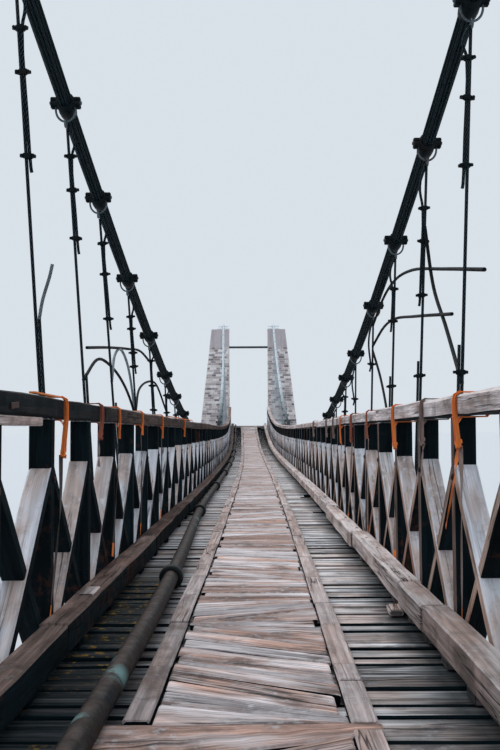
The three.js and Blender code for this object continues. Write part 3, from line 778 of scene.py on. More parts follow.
def catmull(points, steps):
    """A smooth line through the points, at even places along its parameter."""
    made = []
    last = len(points) - 1
    for i in range(steps + 1):
        t = i / steps * last
        k = min(int(t), last - 1)
        w = t - k
        a = points[k - 1] if k else points[0] * 2 - points[1]
        b, c = points[k], points[k + 1]
        d = points[k + 2] if k + 2 <= last else points[last] * 2 - points[last - 1]
        tangents = []
        spans = [max((q - p).length, 1e-6) ** 0.5 for p, q in ((a, b), (b, c), (c, d))]
        for p, q, r, first, second in ((a, b, c, spans[0], spans[1]), (b, c, d, spans[1], spans[2])):
            tangents.append(((q - p) / first - (r - p) / (first + second) + (r - q) / second) * spans[1])
        h = (2 * w**3 - 3 * w**2 + 1, w**3 - 2 * w**2 + w, -2 * w**3 + 3 * w**2, w**3 - w**2)
        made.append(b * h[0] + tangents[0] * h[1] + c * h[2] + tangents[1] * h[3])
    return made


def length_of(points):
    return sum((b - a).length for a, b in zip(points, points[1:]))


# Free ropes on the hangers and free ends of the straps
ROPE_RADIUS = 0.014
ROPE_OUTWARD = 0.042
# A rope's route: the hanger and height that it leaves, places beside the hangers, the hanger and height where
# it ends, and its look
LOOSE_ROUTES = {
    -1: [
        ((-9, 1.9), [(-14.6, 1.99), (-15.7, 1.93), (-17.0, 1.83), (-18.0, 1.74)], None, LOOSE_WIRE),
        ((-10, 1.15), [(-15.6, 1.37), (-16.2, 1.56), (-16.9, 1.67), (-17.5, 1.68)], (-12, 1.45), LOOSE_WIRE),
        ((-11, 1.5), [(-16.6, 1.78), (-16.25, 1.88), (-15.85, 1.8), (-15.55, 1.6)], (-10, 1.0), PALE_WIRE),
        ((-10, 1.25), [(-14.9, 1.5), (-14.0, 1.65), (-13.0, 1.64)], (-8, 1.3), LOOSE_WIRE),
    ],
    1: [
        ((-10, 2.25), [(-15.5, 2.47), (-16.4, 2.56), (-17.4, 2.49), (-18.8, 2.25), (-20.0, 2.03)], None,
         LOOSE_WIRE),
        ((-10, 2.0), [(-15.6, 2.15), (-16.4, 2.16), (-17.6, 2.04), (-19.1, 1.87)], None, LOOSE_WIRE),
        ((-12, 2.7), [(-18.4, 2.2), (-18.9, 1.8)], (-13, 1.35), LOOSE_WIRE),
        ((-10, 1.95), [(-15.4, 1.65), (-15.9, 1.3)], (-11, 0.9), LOOSE_WIRE),
    ],
}
INNER_FACE = TRUSS_INNER - 0.012
WIDE = 0.034
NARROW = 0.02
# Straps tied round the rails: where each goes over the rail, where its knot is, its look and width, and its
# free ends, each with the ways that it goes, a look for its length and one for its last bit
# Along a tail, the brown and the dark looks on an orange or red strap are painted shade.
STRAPS = {
    1: [
        (-20.74, (-20.77, 1.046), ORANGE, WIDE, [
            ([(-20.71, 0.955), (-20.7, 0.905), (-20.6, 0.77), (-20.44, 0.581)], ORANGE, ORANGE),
            ([(-20.82, 0.873), (-20.81, 0.5), (-20.79, 0.113)], BROWN, ORANGE)]),
        (-18.61, (-18.63, 1.005), ORANGE, WIDE, [
            ([(-18.62, 0.75), (-18.59, 0.4), (-18.56, 0.092)], BROWN, ORANGE)]),
        (-19.79, (-19.75, 1.049), BROWN, WIDE, [([(-19.745, 0.95), (-19.74, 0.827)], BROWN, BROWN)]),
        (-14.24, (-14.24, 0.982), ORANGE, NARROW, [([(-14.25, 0.85), (-14.26, 0.7)], BROWN, BROWN)]),
        (-15.54, (-15.48, 1.02), RED, WIDE, [
            ([(-15.4, 0.7), (-15.2, 0.35), (-15.03, 0.06)], BROWN, ORANGE)]),
        (-16.95, (-16.93, 1.06), RED, NARROW, [
            ([(-16.92, 0.68), (-16.915, 0.35), (-16.91, 0.09)], BROWN, ORANGE)]),
        (-13.22, (-13.22, 1.05), BROWN, WIDE, []),
        (-12.01, (-12.0, 1.06), BROWN, WIDE, []),
        (-9.02, (-9.02, 1.05), BROWN, WIDE, []),
    ],
    -1: [
        (-20.35, (-20.39, 1.001), ORANGE, WIDE, [
            ([(-20.44, 0.7), (-20.58, 0.38), (-20.69, 0.099)], SHADED, ORANGE)]),
        (-19.23, (-19.25, 1.094), RED, WIDE, [([(-19.28, 0.98), (-19.31, 0.882)], BROWN, BROWN)]),
        (-18.45, (-18.43, 1.085), ORANGE, NARROW, [
            ([(-18.5, 0.8), (-18.64, 0.45), (-18.74, 0.19)], SHADED, ORANGE)]),
        (-17.1, (-17.08, 1.109), ORANGE, NARROW, [
            ([(-17.1, 0.8), (-17.16, 0.45), (-17.21, 0.17)], SHADED, ORANGE)]),
        (-15.39, (-15.36, 1.065), ORANGE, NARROW, [
            ([(-15.42, 0.75), (-15.52, 0.4), (-15.57, 0.13)], SHADED, ORANGE)]),
        (-12.39, (-12.36, 1.067), ORANGE, NARROW, []),
    ],
}
STRAP_TIP = 0.135


def on_hanger(side, number, height):
    foot, head = hanger_ends(side, number)
    return foot.lerp(head, (height - foot.z) / (head.z - foot.z))


def beside_hangers(side, y, z):
    foot_z = between_stations(grade_at, y) + TRANSOM_TOP
    x = lerp(HANGER_FOOT_X, cable_x(y), (z - foot_z) / (cable_z(y) - foot_z))
    return Vector((side * (x + ROPE_OUTWARD) + bow_at(y), y, z))


def loose_rope(name, side, route, steps=28):
    """A free wire rope hung between the hangers."""
    leaves, places, ends, look = route
    points = [on_hanger(side, *leaves), *[beside_hangers(side, y, z) for y, z in places]]
    if ends:
        points.append(on_hanger(side, *ends))
    line = [Vector(place(p)) for p in catmull(points, steps)]
    curve = bpy.data.curves.new(name, "CURVE")
    curve.dimensions = "3D"
    curve.bevel_depth = ROPE_RADIUS * SCALE
    curve.bevel_resolution = 3
    curve.use_fill_caps = True
    spline = curve.splines.new("POLY")
    spline.points.add(len(line) - 1)
    for point, where in zip(spline.points, line):
        point.co = (*where, 1)
    curve.materials.append(look)
    made = linked(name, curve)
    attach(made, "root")


def strap_tail(name, side, knot, full_width, tail):
    """The free end of a strap, from its knot down beside the parapet."""
    ways, look, last_look = tail
    knot_y, knot_up = knot
    piece = Piece(name, 300)
    points = [deck(side * INNER_FACE, knot_y, knot_up - 0.012)]
    away = 0.004
    for y, up in ways:
        away = min(away + 0.006, 0.014)
        points.append(deck(side * (INNER_FACE - away), y, up))
    line = catmull(points, 24)
    across, looks = [], []
    left = length_of(line)
    for i, point in enumerate(line):
        turn_by = 0.5 * math.sin(i / len(line) * 5 + knot_y)
        across.append(Vector((side * math.sin(turn_by), math.cos(turn_by), 0)))
        left -= (point - line[i - 1]).length if i else 0
        looks.append(1 if left < STRAP_TIP else 0)
    width = full_width * 0.92
    ribbon(piece, line, across, width, STRAP_THICK, looks)
    made = piece.make([look, last_look])


for side, routes in LOOSE_ROUTES.items():
    for number, route in enumerate(routes, 1):
        loose_rope(f"{SIDES[side]}_loose_rope_{number}", side, route)
for side, straps in STRAPS.items():
    tails = [(knot, width, tail) for _, knot, _, width, ends in straps for tail in ends]
    for number, (knot, width, tail) in enumerate(tails, 1):
        strap_tail(f"{SIDES[side]}_strap_tail_{number}", side, knot, width, tail)


# Floor frame: cross beams with two stringers on them
STRINGER_LENGTH = 4
STRINGER_HALF = 0.06


def build_floor_frame():
    piece = Piece("floor_frame", 11)
    rng = piece.rng
    middle = (TRANSOM_BOTTOM + TRANSOM_TOP) / 2
    for number in HANGERS:
        y = number * HANGER_SPACING
        left, right = -TRANSOM_REACH + rng.uniform(0, 0.03), TRANSOM_REACH - rng.uniform(0, 0.03)
        plank(piece, deck(left, y, middle), deck(right, y, middle), 2 * TRANSOM_HALF,
              TRANSOM_TOP - TRANSOM_BOTTOM, 0.01, 4, 0.004)
    for side in SIDES:
        marks = [-LAST, *range(-28 + STRINGER_LENGTH + max(side, 0), 28, STRINGER_LENGTH), LAST]
        middle = side * STRINGER_X
        for a, b in zip(marks, marks[1:]):
            beam(piece, (middle - STRINGER_HALF, middle + STRINGER_HALF), (TRANSOM_TOP, STRINGER_TOP - 0.002),
                 (a + 0.003, b - 0.003), 1.0, 0.008, 0.003)
    piece.make([FRAME_WOOD], numbered("floor_frame", 4))


# Boards laid across, with uneven gaps and a few short ones
BOARD_WIDTHS = (0.1, 0.12, 0.14, 0.17, 0.2, 0.25)
SHORT_BOARDS_FROM = -17
SHORT_LEFT_SHARE = 0.04
SHORT_RIGHT_SHARE = 0.07
SHORT_REACH = (0.7, 0.9)
BOARD_GAPS = (0.014, 0.024, 0.034, 0.044, 0.056, 0.068)


def board_dirt_and_shade(point):
    """Dirt and painted shade on the base boards: a painted shadow in a strip below the right kick beam all
    along, and darkening along the kick beams, by the pipe and at the near end, which is wet dirt and painted
    shade together.
    """
    x = point.x - bow_at(point.y)
    near = smooth((-16 - point.y) / 3)
    nearest = smooth((-19.6 - point.y) / 2)
    if x < 0:
        return max(lerp(0.02, 1.0, near) * smooth((-0.44 - x) / 0.24), 0.85 * nearest)
    kick_shadow_strip = 0.9 * smooth((x - 0.82) / 0.1)
    return max(lerp(0.0, 0.95, near) * smooth((x - 0.7) / 0.2), kick_shadow_strip,
               lerp(0.08, 0.55, smooth((x - 0.4) / 0.3)) * nearest)


def build_base_boards():
    piece = Piece("base_boards", 21)
    rng = piece.rng
    thick = BOARDS_TOP - STRINGER_TOP
    y = -LAST
    while y < HALF - 0.2:
        width = rng.choice(BOARD_WIDTHS)
        gap = rng.choice(BOARD_GAPS)
        middle = y + width / 2
        skew = rng.uniform(-0.018, 0.018)
        z = STRINGER_TOP - rng.uniform(0, 0.008) + thick / 2
        left, right = -BOARDS_REACH + rng.uniform(0, 0.04), BOARDS_REACH - rng.uniform(0, 0.04)
        if y > SHORT_BOARDS_FROM:
            if rng.random() < SHORT_LEFT_SHARE:
                left = -rng.uniform(*SHORT_REACH)
            elif rng.random() < SHORT_RIGHT_SHARE:
                right = rng.uniform(*SHORT_REACH)
        plank(piece, deck(left, middle - skew, z), deck(right, middle + skew, z), width, thick - 0.001,
              0.007, 14, 0.003, darkening=board_dirt_and_shade)
        y += width + gap
    piece.make([BASE_WOOD], numbered("base_boards", 3), dark=PAINTED_SHADE_WOOD, upward=0.8)


# Where the joints between walkway boards meet the left and right strips, from near to far, with the
# number of boards up to the next joint
NEAR_JOINTS = [
    (-22.60, -22.50, 2), (-22.42, -22.02, 0), (-21.90, -21.89, 1), (-21.65, -21.875, 1),
    (-21.46, -21.80, 1), (-21.28, -21.69, 1), (-21.13, -21.54, 2), (-20.86, -21.19, 2), (-20.49, -20.88, 1),
    (-20.31, -20.69, 1), (-20.17, -20.28, 1), (-20.14, -20.03, 1), (-20.09, -19.75, 1), (-19.92, -19.67, 1),
    (-19.76, -19.51, 1), (-19.52, -19.42, 1), (-19.26, -19.33, 3), (-18.88, -18.90, 2), (-18.55, -18.59, 1),
    (-18.37, -18.54, 1), (-18.17, -18.48, 2), (-17.76, -18.0, 2), (-17.33, -17.62, 2), (-16.96, -17.09, 4),
    (-16.22, -16.23, 1), (-15.89, -15.59, 2), (-15.34, -15.35, 5), (-14.38, -14.40, 2), (-13.89, -13.59, 1),
]
AFTER_NEAR_JOINTS = (-13.76, -13.5)
# The board that lies across at the near end: its left end, its right end and its reach
CROSS_BOARD = ((-22.4, -21.93), (-22.005, -21.905), (-0.62, 0.5))
BOARD_REACH = WALKWAY_REACH - STRIP_WIDTH - 0.002
WALKWAY_END = 28.4
WALKWAY_GAPS = (0.003, 0.006, 0.009, 0.012, 0.016, 0.021, 0.03)
SHORT_ENDS = (0.0, 0.0, 0.0, 0.004, 0.012, 0.03)
TREAD_DIRT = 0.09
TREAD_THICK = 0.043


def walkway_joints(rng):
    """Joints along the whole deck: measured ones near the camera, and fans of the same kind elsewhere."""
    joints = []

    def run(left, right, stop):
        aim = rng.uniform(-0.3, 0.3)
        while max(left, right) < stop - 0.2:
            joints.append((left, right, 1))
            width = rng.uniform(0.11, 0.2)
            lean = right - left
            turn_by = min(max(aim - lean, -0.09), 0.09)
            if abs(aim - lean) < 0.02 or rng.random() < 0.12:
                aim = rng.uniform(-0.36, 0.36)
            left += width - turn_by / 2
            right += width + turn_by / 2

    first = NEAR_JOINTS[0][0]
    run(-WALKWAY_END, -WALKWAY_END, first)
    while joints and max(joints[-1][:2]) > first - 0.12:
        joints.pop()
    joints.extend(NEAR_JOINTS)
    run(*AFTER_NEAR_JOINTS, WALKWAY_END - 0.02)
    return joints


def walkway_board(piece, left, right, reach, top=0.0, gaps=(0.008, 0.008)):
    """A board between two joints, each given where it meets the left and the right strip. The gaps, at the
    left and the right strip, come off its far edge."""
    rng = piece.rng
    (l0, l1), (r0, r1) = left, right
    lift = [rng.uniform(-0.006, 0.0) for _ in range(2)]
    cup = rng.uniform(-0.002, 0.001)
    corners = [0.006 * rng.uniform(0.6, 2.0) for _ in range(4)]
    rings, marks = [], []
    for t in (0, 0.012, *[k / 6 for k in range(1, 6)], 0.988, 1):
        trim = 0.004 if t in (0, 1) else 0
        y0, y1 = lerp(l0, r0, t), lerp(l1, r1, t) - lerp(*gaps, t)
        half = max((y1 - y0) / 2 - trim, 0.004)
        worn = [min(c * rng.uniform(0.8, 1.2), half * 0.6) for c in corners]
        section = chamfered(half, TREAD_THICK / 2 - trim, worn)
        z = top + lerp(*lift, t) + cup * (1 - abs(2 * t - 1)) - TREAD_THICK / 2
        middle = (y0 + y1) / 2 + rng.uniform(-0.003, 0.003)
        rings.append([deck(lerp(*reach, t), middle + a, z + b) for a, b in section])
        marks.append(TREAD_DIRT * smooth((-18.5 - middle) / 2.5))
    piece.loft(rings, True, darkening=marks)


def build_walkway():
    piece = Piece("walkway_boards", 31)
    rng = piece.rng
    joints = walkway_joints(rng)
    for (left, right, count), (next_left, next_right, _) in zip(joints, joints[1:]):
        for k in range(count):
            a, b = k / count, (k + 1) / count
            ends = (-BOARD_REACH + rng.choice(SHORT_ENDS), BOARD_REACH - rng.choice(SHORT_ENDS))
            gaps = (rng.choice(WALKWAY_GAPS), rng.choice(WALKWAY_GAPS))
            walkway_board(piece, (lerp(left, next_left, a), lerp(left, next_left, b)),
                          (lerp(right, next_right, a), lerp(right, next_right, b)), ends, gaps=gaps)
    walkway_board(piece, *CROSS_BOARD, STRIP_TOP - 0.004)
    piece.make([WALKWAY_WOOD], numbered("walkway_boards", 3), dark=PAINTED_SHADE_WOOD)


STRIP_ENDS = {
    -1: [-28.4, -27.2, -26.1, -25.0, -24.1, -23.2, -22.42, -21.9, -21.11, -20.15, -19.3, -18.5],
    1: [-28.4, -27.4, -26.2, -25.3, -24.2, -23.1, -22.0, -21.92, -21.36, -21.09, -20.22, -19.6, -18.6],
}
# Each strip lies on a narrower packing piece that reaches up to here
STRIP_LOW = STRIP_TOP - 0.041
# The strips leave room here for the board that lies across
NO_STRIP_FROM = {(-1, -22.42), (1, -22.0)}


def build_strips():
    piece = Piece("walkway_strips", 32)
    rng = piece.rng
    inner, outer = WALKWAY_REACH - STRIP_WIDTH + 0.001, WALKWAY_REACH - 0.01
    for side, ends in STRIP_ENDS.items():
        marks = list(ends)
        while marks[-1] < WALKWAY_END - 0.2:
            marks.append(min(marks[-1] + rng.uniform(0.5, 1.15), WALKWAY_END))
        for a, b in zip(marks, marks[1:]):
            if (side, a) in NO_STRIP_FROM:
                continue
            shift = rng.uniform(-0.001, 0.008) * side
            # Painted shade: the strips get darker towards the near end, most on the left, and the packing
            # pieces below them are darkened as in the shade of the strips.
            darkening = (0.36 if side < 0 else 0.12) * smooth((-18.9 - a) / 2)
            x0, x1 = sorted((side * inner + shift, side * outer + shift))
            ends = (a + 0.004, b - 0.004)
            top = STRIP_TOP + rng.uniform(-0.006, 0)
            beam(piece, (x0, x1), (STRIP_LOW + 0.001, top), ends, 0.6, 0.006, 0.0015, darkening=darkening)
            beam(piece, (x0 + 0.01, x1 - 0.01), (BOARDS_TOP, STRIP_LOW), ends, 0.6, 0.001, 0.0, darkening=0.6)
    piece.make([STRIP_WOOD], dark=PAINTED_SHADE_WOOD)


# Kick beams in lengths, on blocks
KICK_JOINTS = {
    -1: [-LAST, -24.6, -20.9, -17.2, -13.4, -9.6, -5.7, -1.9, 2.0, 5.9, 9.8, 13.5, 17.4, 21, 24.6, LAST],
    1: [-LAST, -24.3, -20.47, -19.67, -16.9, -13.9, -9.9, -6.1, -2.2, 1.8, 5.7, 9.6, 13.6, 17.2, 21, 24.4,
        LAST],
}
# The right beam's blocks near the camera stand where the gaps below it end
KICK_BLOCKS = [-20.95, -20.45, -19.95, -19.3, -18.6, -18.1, -17.4, -16.6]
KICK_SHIFTS = {(1, -16.9): -0.02, (1, -20.47): -0.008}
# Painted shade: the blocks under the kick beams are made nearly black.
BLOCK_PAINTED_SHADE = 0.85
# A loose block on the right, and a pale spot on top of the left beam, with its reach
LOOSE_BLOCK = (0.885, -19.7)
PALE_SPOT = (-20.0, 0.24)


def kick_near_darkening(y):
    """The right kick beam is darker at the near end."""
    return 0.3 * smooth((-18.8 - y) / 2)


def build_kick_beams(side):
    name = f"{SIDES[side]}_kick_beam"
    piece = Piece(name, 40 + side)
    rng = piece.rng
    in_lengths(piece, side, (KICK_INNER, KICK_OUTER), (KICK_BOTTOM, KICK_TOP), KICK_JOINTS[side], KICK_SHIFTS,
               (-0.004, 0.004), 0.01, 0.002, kick_near_darkening if side > 0 else 0.0)
    wide, high = KICK_OUTER - KICK_INNER - 0.04, KICK_BOTTOM - BOARDS_TOP
    x, z = side * KICK_MIDDLE, (BOARDS_TOP + KICK_BOTTOM) / 2
    y = -28.0
    blocks = []
    while y < 28.2:
        if side < 0 or not KICK_BLOCKS[0] - 0.3 < y < KICK_BLOCKS[-1] + 0.3:
            blocks.append(y)
        y += rng.choice((1.0, 1.0, 1.5))
    for y in blocks + (KICK_BLOCKS if side > 0 else []):
        half = rng.uniform(0.05, 0.09)
        plank(piece, deck(x, y - half, z), deck(x, y + half, z), wide, high, 0.006,
              darkening=lambda point: BLOCK_PAINTED_SHADE)
        if rng.random() < 0.6:
            bolt(piece, deck(x, y, KICK_TOP - 0.01), UP, 0.011, 0.008, 0.015, 1)
    if side > 0:
        x, y = LOOSE_BLOCK
        z = BOARDS_TOP + 0.025
        plank(piece, deck(x, y - 0.1, z), deck(x + 0.01, y + 0.09, z), 0.09, 0.044, 0.008, look=2)
    else:
        y, reach = PALE_SPOT
        beam(piece, (-KICK_OUTER + 0.03, -KICK_INNER - 0.03), (KICK_TOP - 0.012, KICK_TOP + 0.003),
             (y - reach / 2, y + reach / 2), 0.1, 0.006, 0.001, 2)
    top, lit = (RIGHT_WOOD, KICK_LIT) if side > 0 else (LEFT_KICK_WOOD, LEFT_LIT)
    piece.make([top, BOLT_IRON, STRIP_WOOD], numbered(name, 6),
               dark=lit if side > 0 else PAINTED_SHADE_WOOD, lit=lit, side=side)


# Parapets
POST_FOOT = TRANSOM_TOP + 0.002
POST_BOLTS = (0.86, 0.0)
CHORD_BAYS = 4


def build_posts(side):
    piece = Piece(f"{SIDES[side]}_posts", 50 + side)
    rng = piece.rng
    x = side * TRUSS_MIDDLE
    for i in range(BAYS + 1):
        y = -TRUSS_END + i
        top = deck(x + rng.uniform(-0.004, 0.004), y + rng.uniform(-0.008, 0.008), RAIL_BOTTOM)
        plank(piece, deck(x, y, POST_FOOT), top, TRUSS_WIDTH - rng.uniform(0, 0.012),
              2 * POST_HALF - rng.uniform(0, 0.012), 0.007, 6, 0.004, ALONG)
        for z in POST_BOLTS:
            face = deck(side * (TRUSS_INNER - 0.001), y + rng.uniform(-0.01, 0.01), z)
            bolt(piece, face, (-side, 0, 0), 0.012, 0.008, 0.02, 1)
    nodes = numbered(f"{SIDES[side]}_truss", 4)
    piece.make([BRACE_WOOD, BOLT_IRON], nodes, dark=PAINTED_SHADE_WOOD, lit=POST_LIT, side=side)


def build_braces(side):
    piece = Piece(f"{SIDES[side]}_braces", 60 + side)
    rng = piece.rng
    x = side * TRUSS_MIDDLE
    half_high = BRACE_HIGH / 2
    low, high = BRACE_BOTTOM + half_high, BRACE_TOP - half_high
    for i in range(BAYS):
        a, b = -TRUSS_END + i + POST_HALF - 0.006, -TRUSS_END + i + 1 - POST_HALF + 0.006
        for z0, z1, thinner in ((low, high, 0.004), (high, low, 0.012)):
            half = (TRUSS_WIDTH - thinner - rng.uniform(0, 0.008)) / 2
            corners = [0.006 * rng.uniform(0.6, 1.8) for _ in range(4)]
            rings = []
            for t in [k / 6 for k in range(7)]:
                section = chamfered(half, half_high, [c * rng.uniform(0.7, 1.3) for c in corners])
                middle = x + rng.uniform(-0.002, 0.002)
                rings.append([deck(middle + p, lerp(a, b, t), lerp(z0, z1, t) + q) for p, q in section][::-1])
            piece.loft(rings, True)
    half = TRUSS_WIDTH / 2 - 0.004
    for a in [-TRUSS_END + start for start in range(0, BAYS, CHORD_BAYS)]:
        b = min(a + CHORD_BAYS, TRUSS_END)
        beam(piece, (x - half, x + half), (POST_FOOT, CHORD_TOP), (a + 0.004, b - 0.004), 1, 0.007, 0.002)
    piece.make([BRACE_WOOD], dark=PAINTED_SHADE_WOOD, lit=BRACE_LIT, side=side)


RAIL_JOINTS = {
    -1: [-27.55, -23.9, -21.6, -19.0, -15.2, -12.0, -8.2, -4.4, -0.6, 3.2, 7.0, 10.8, 14.6, 18.2, 21.8,
         25.0, 27.55],
    1: [-27.55, -24.0, -21.8, -19.75, -17.6, -13.6, -9.8, -6.0, -2.2, 1.6, 5.4, 9.2, 13.0, 16.8, 20.4,
        24.0, 27.55],
}
RAIL_SHIFTS = {(1, -19.75): -0.012, (1, -17.6): 0.014}
# A second timber below the left rail at the near end, and a small plate on the rail's face
UNDER_RAIL = (-23.2, -20.79)
UNDER_RAIL_HIGH = 0.045
RAIL_PLATE = ((-21.4, 1.235), (-21.28, 1.245))


def rail_painted_shade(y):
    """Painted shade: the left rail is nearly black at the near end."""
    return 0.85 * smooth((-17.6 - y) / 2)


def build_rail(side):
    name = f"{SIDES[side]}_top_rail"
    piece = Piece(name, 70 + side)
    rng = piece.rng
    in_lengths(piece, side, (RAIL_INNER, RAIL_OUTER), (RAIL_BOTTOM, RAIL_TOP), RAIL_JOINTS[side], RAIL_SHIFTS,
               (-0.01, 0.004), 0.012, 0.004, rail_painted_shade if side < 0 else 0.0)
    for i in range(BAYS + 1):
        for dy in (-0.02, 0.02):
            y = -TRUSS_END + i + dy + rng.uniform(-0.008, 0.008)
            bolt(piece, deck(side * RAIL_MIDDLE, y, RAIL_TOP - 0.006), UP, 0.009, 0.008, 0, 1)
    if side < 0:
        zs = (RAIL_BOTTOM - UNDER_RAIL_HIGH, RAIL_BOTTOM - 0.001)
        beam(piece, (-RAIL_OUTER + 0.01, -RAIL_INNER - 0.004), zs, UNDER_RAIL, 0.5, 0.007, 0.002, 2)
        plank(piece, *[deck(-RAIL_INNER + 0.003, *spot) for spot in RAIL_PLATE], 0.008, 0.03, 0.002, look=1)
    top, lit, dark = (RIGHT_WOOD, RIGHT_LIT, PAINTED_SHADE_WOOD) if side > 0 else (LEFT_WOOD, LEFT_LIT, RAIL_SHADE)
    piece.make([top, BOLT_IRON, STRIP_WOOD], numbered(name, 4), dark=dark, lit=lit,
               side=side)


# Straps bound round the rails
STRAP_LEAN = 0.03
LOOP_SHARE = 0.72
STRAP_ON_RAIL = [(-14.36, -10.54), (-20.95, -20.37)]


def strap_loop(piece, side, strap, looks):
    """A strap over the rail: from its knot up the inner side, over the top and back below the rail."""
    y, (knot_y, knot_up), colour, width, _ = strap
    look = looks.index(colour)
    inner, outer, over = RAIL_INNER - 0.02, RAIL_OUTER + 0.008, RAIL_TOP + 0.006
    section = [(INNER_FACE - 0.012, knot_up, 1.1), (inner + 0.004, RAIL_BOTTOM, 1.0),
               (inner + 0.005, RAIL_TOP - 0.04, 0.9), (inner + 0.008, RAIL_TOP - 0.012, 0.6),
               (RAIL_INNER + 0.01, over, 0.2), (RAIL_INNER + 0.03, over, 0.0), (outer - 0.02, over, 0.0),
               (outer, RAIL_TOP - 0.012, 0.0), (outer, RAIL_BOTTOM + 0.01, 0.0),
               (outer - 0.014, RAIL_BOTTOM - 0.008, 0.0), (RAIL_INNER + 0.02, RAIL_BOTTOM - 0.01, 0.0),
               (RAIL_INNER - 0.01, RAIL_BOTTOM - 0.05, 0.5), (INNER_FACE - 0.008, knot_up + 0.01, 1.0)]
    for layer in range(2):
        points, across = [], []
        for i, (x, up, turned) in enumerate(section):
            share = min(max((RAIL_BOTTOM - up) / (RAIL_BOTTOM - knot_up), 0), 1)
            along = lerp(y, knot_y, share) + STRAP_LEAN * (i / len(section) - 0.5) + layer * width * 0.3
            turned += layer * 0.35 if turned else 0
            points.append(deck(side * (x - layer * 0.004), along, up + layer * 0.003))
            across.append(Vector((side * math.sin(turned), math.cos(turned), 0)))
        ribbon(piece, points, across, width * LOOP_SHARE, STRAP_THICK * 1.6, [look] * len(points))
    knot = deck(side * (INNER_FACE - 0.012), knot_y, knot_up)
    turns, high, coils = 2.4, width * 1.3, 24
    coil = []
    for k in range(coils + 1):
        angle = 2 * math.pi * turns * k / coils
        radius = width * (0.42 + 0.1 * math.sin(angle * 1.7))
        dx, dy = radius * math.cos(angle), radius * math.sin(angle)
        coil.append(knot + Vector((dx, dy, high * (k / coils - 0.5))))
    ribbon(piece, coil, [Vector((0, 0.25, 1))] * len(coil), width * 0.6, 0.006, [look] * len(coil))
    core = [knot + UP * up for up in (-high * 0.7, 0, high * 0.7)]
    tube(piece, core, [width * 0.25, width * 0.4, width * 0.25], 8, look)


def build_straps(side):
    piece = Piece(f"{SIDES[side]}_rail_straps", 120 + side)
    looks = [ORANGE, RED, BROWN]
    for strap in STRAPS[side]:
        strap_loop(piece, side, strap, looks)
    for ends in STRAP_ON_RAIL if side < 0 else ():
        points = []
        for y in steps_between(*ends, 0.1):
            points.append(deck(side * (RAIL_INNER + 0.02 + 0.012 * math.sin(3 * y)), y, RAIL_TOP + 0.008))
        ribbon(piece, points, [ACROSS] * len(points), WIDE, STRAP_THICK * 3, [0] * len(points))
    piece.make(looks)


# Suspension: each cable is a bundle of wire ropes round a core, with bands and rope hangers
CORE_RADIUS = 0.036
STRAND_RADIUS = 0.0115
STRAND_RINGS = ((0.0475, 0.0), (0.0415, math.pi / 6))
# The ropes lie closer together from the saddles down to the anchors
CLOSER_FROM = 26.4
CLOSER_BY = 0.89
BAND_REACH = 0.113
BAND_HALF = 0.038
BAND_PLATE = 0.034
BAND_GAP = 0.002
BAND_BOLT_X = 0.096
# The sleeve on the cable: places along it, downhill positive, with the radius at each
SLEEVE_ON_CABLE = ((-0.044, 0.062), (-0.04, 0.07), (0.09, 0.069), (0.13, 0.063), (0.136, 0.056))
SHACKLE_SHAPE = ((-0.072, -0.02), (-0.074, -0.065), (-0.058, -0.11), (-0.022, -0.14), (0.022, -0.14),
                 (0.058, -0.11), (0.074, -0.065), (0.072, -0.02))
SHACKLE_ROD = 0.0085
SHACKLE_FROM = 0.6
EYE_RADIUS = 0.024
EYE_ROD = 0.008
EYE_DOWN = 0.158
HANGER_ROPE = 0.0115
DEAD_ROPE = HANGER_ROPE * 0.95
APART = 0.0215
LOOP_SPREAD = 0.026
# One lower dead end stands away from its hanger: from this height, by these amounts at shares of the rest
STRAY_HANGER = (-1, -13)
STRAY_FROM = 1.76
STRAY_WAY = ((0.35, 0.05), (0.75, 0.1), (1, 0.125))
# A clip's two bars: width, depth, height and chamfer
CLIP_BARS = ((0.1, 0.026, 0.02, 0.008), (0.062, 0.046, 0.034, 0.014))
CLIP_NUT_X = 0.036
# Heights of the wire clips that are known, by side and hanger: those on the upper dead end, where that end
# stops, and those on the lower one, with its top
KNOWN_CLIPS = {
    -1: {-13: ((3.52, 3.26, 2.76), 2.66, (), 2.1), -12: ((3.15, 2.9, 2.54), 2.42, (), 1.5),
         -11: ((2.75, 2.48, 2.08), 1.98, (), 1.3), -10: ((2.28, 2.15, 1.89, 1.74), 1.66, (), 1.1)},
    1: {-13: ((3.47, 3.21, 2.77), 2.62, (1.42,), 1.6), -12: ((2.85, 2.58, 2.14), 2.05, (1.48,), 1.6),
        -11: ((2.43, 2.11), 2.0, (1.46,), 1.56), -10: ((1.79,), 1.7, (), 1.2), -9: ((1.43,), 1.34, (), 0.9)},
}


def build_cable(side):
    name = SIDES[side]
    piece = Piece(f"{name}_main_cable", 80 + side)
    line = cable_line(side, 0.5)
    tube(piece, line, CORE_RADIUS, 10)
    for away, turned in STRAND_RINGS:
        for k in range(6):
            angle = math.pi * k / 3 + turned
            points = []
            for point, side_way, top in frames_along(line):
                out = away * lerp(1, CLOSER_BY, smooth(abs(point.y) - CLOSER_FROM))
                points.append(point + side_way * (out * math.cos(angle)) + top * (out * math.sin(angle)))
            tube(piece, points, STRAND_RADIUS, 7)
    piece.make([WIRE], [f"{name}_cable_and_hangers"])


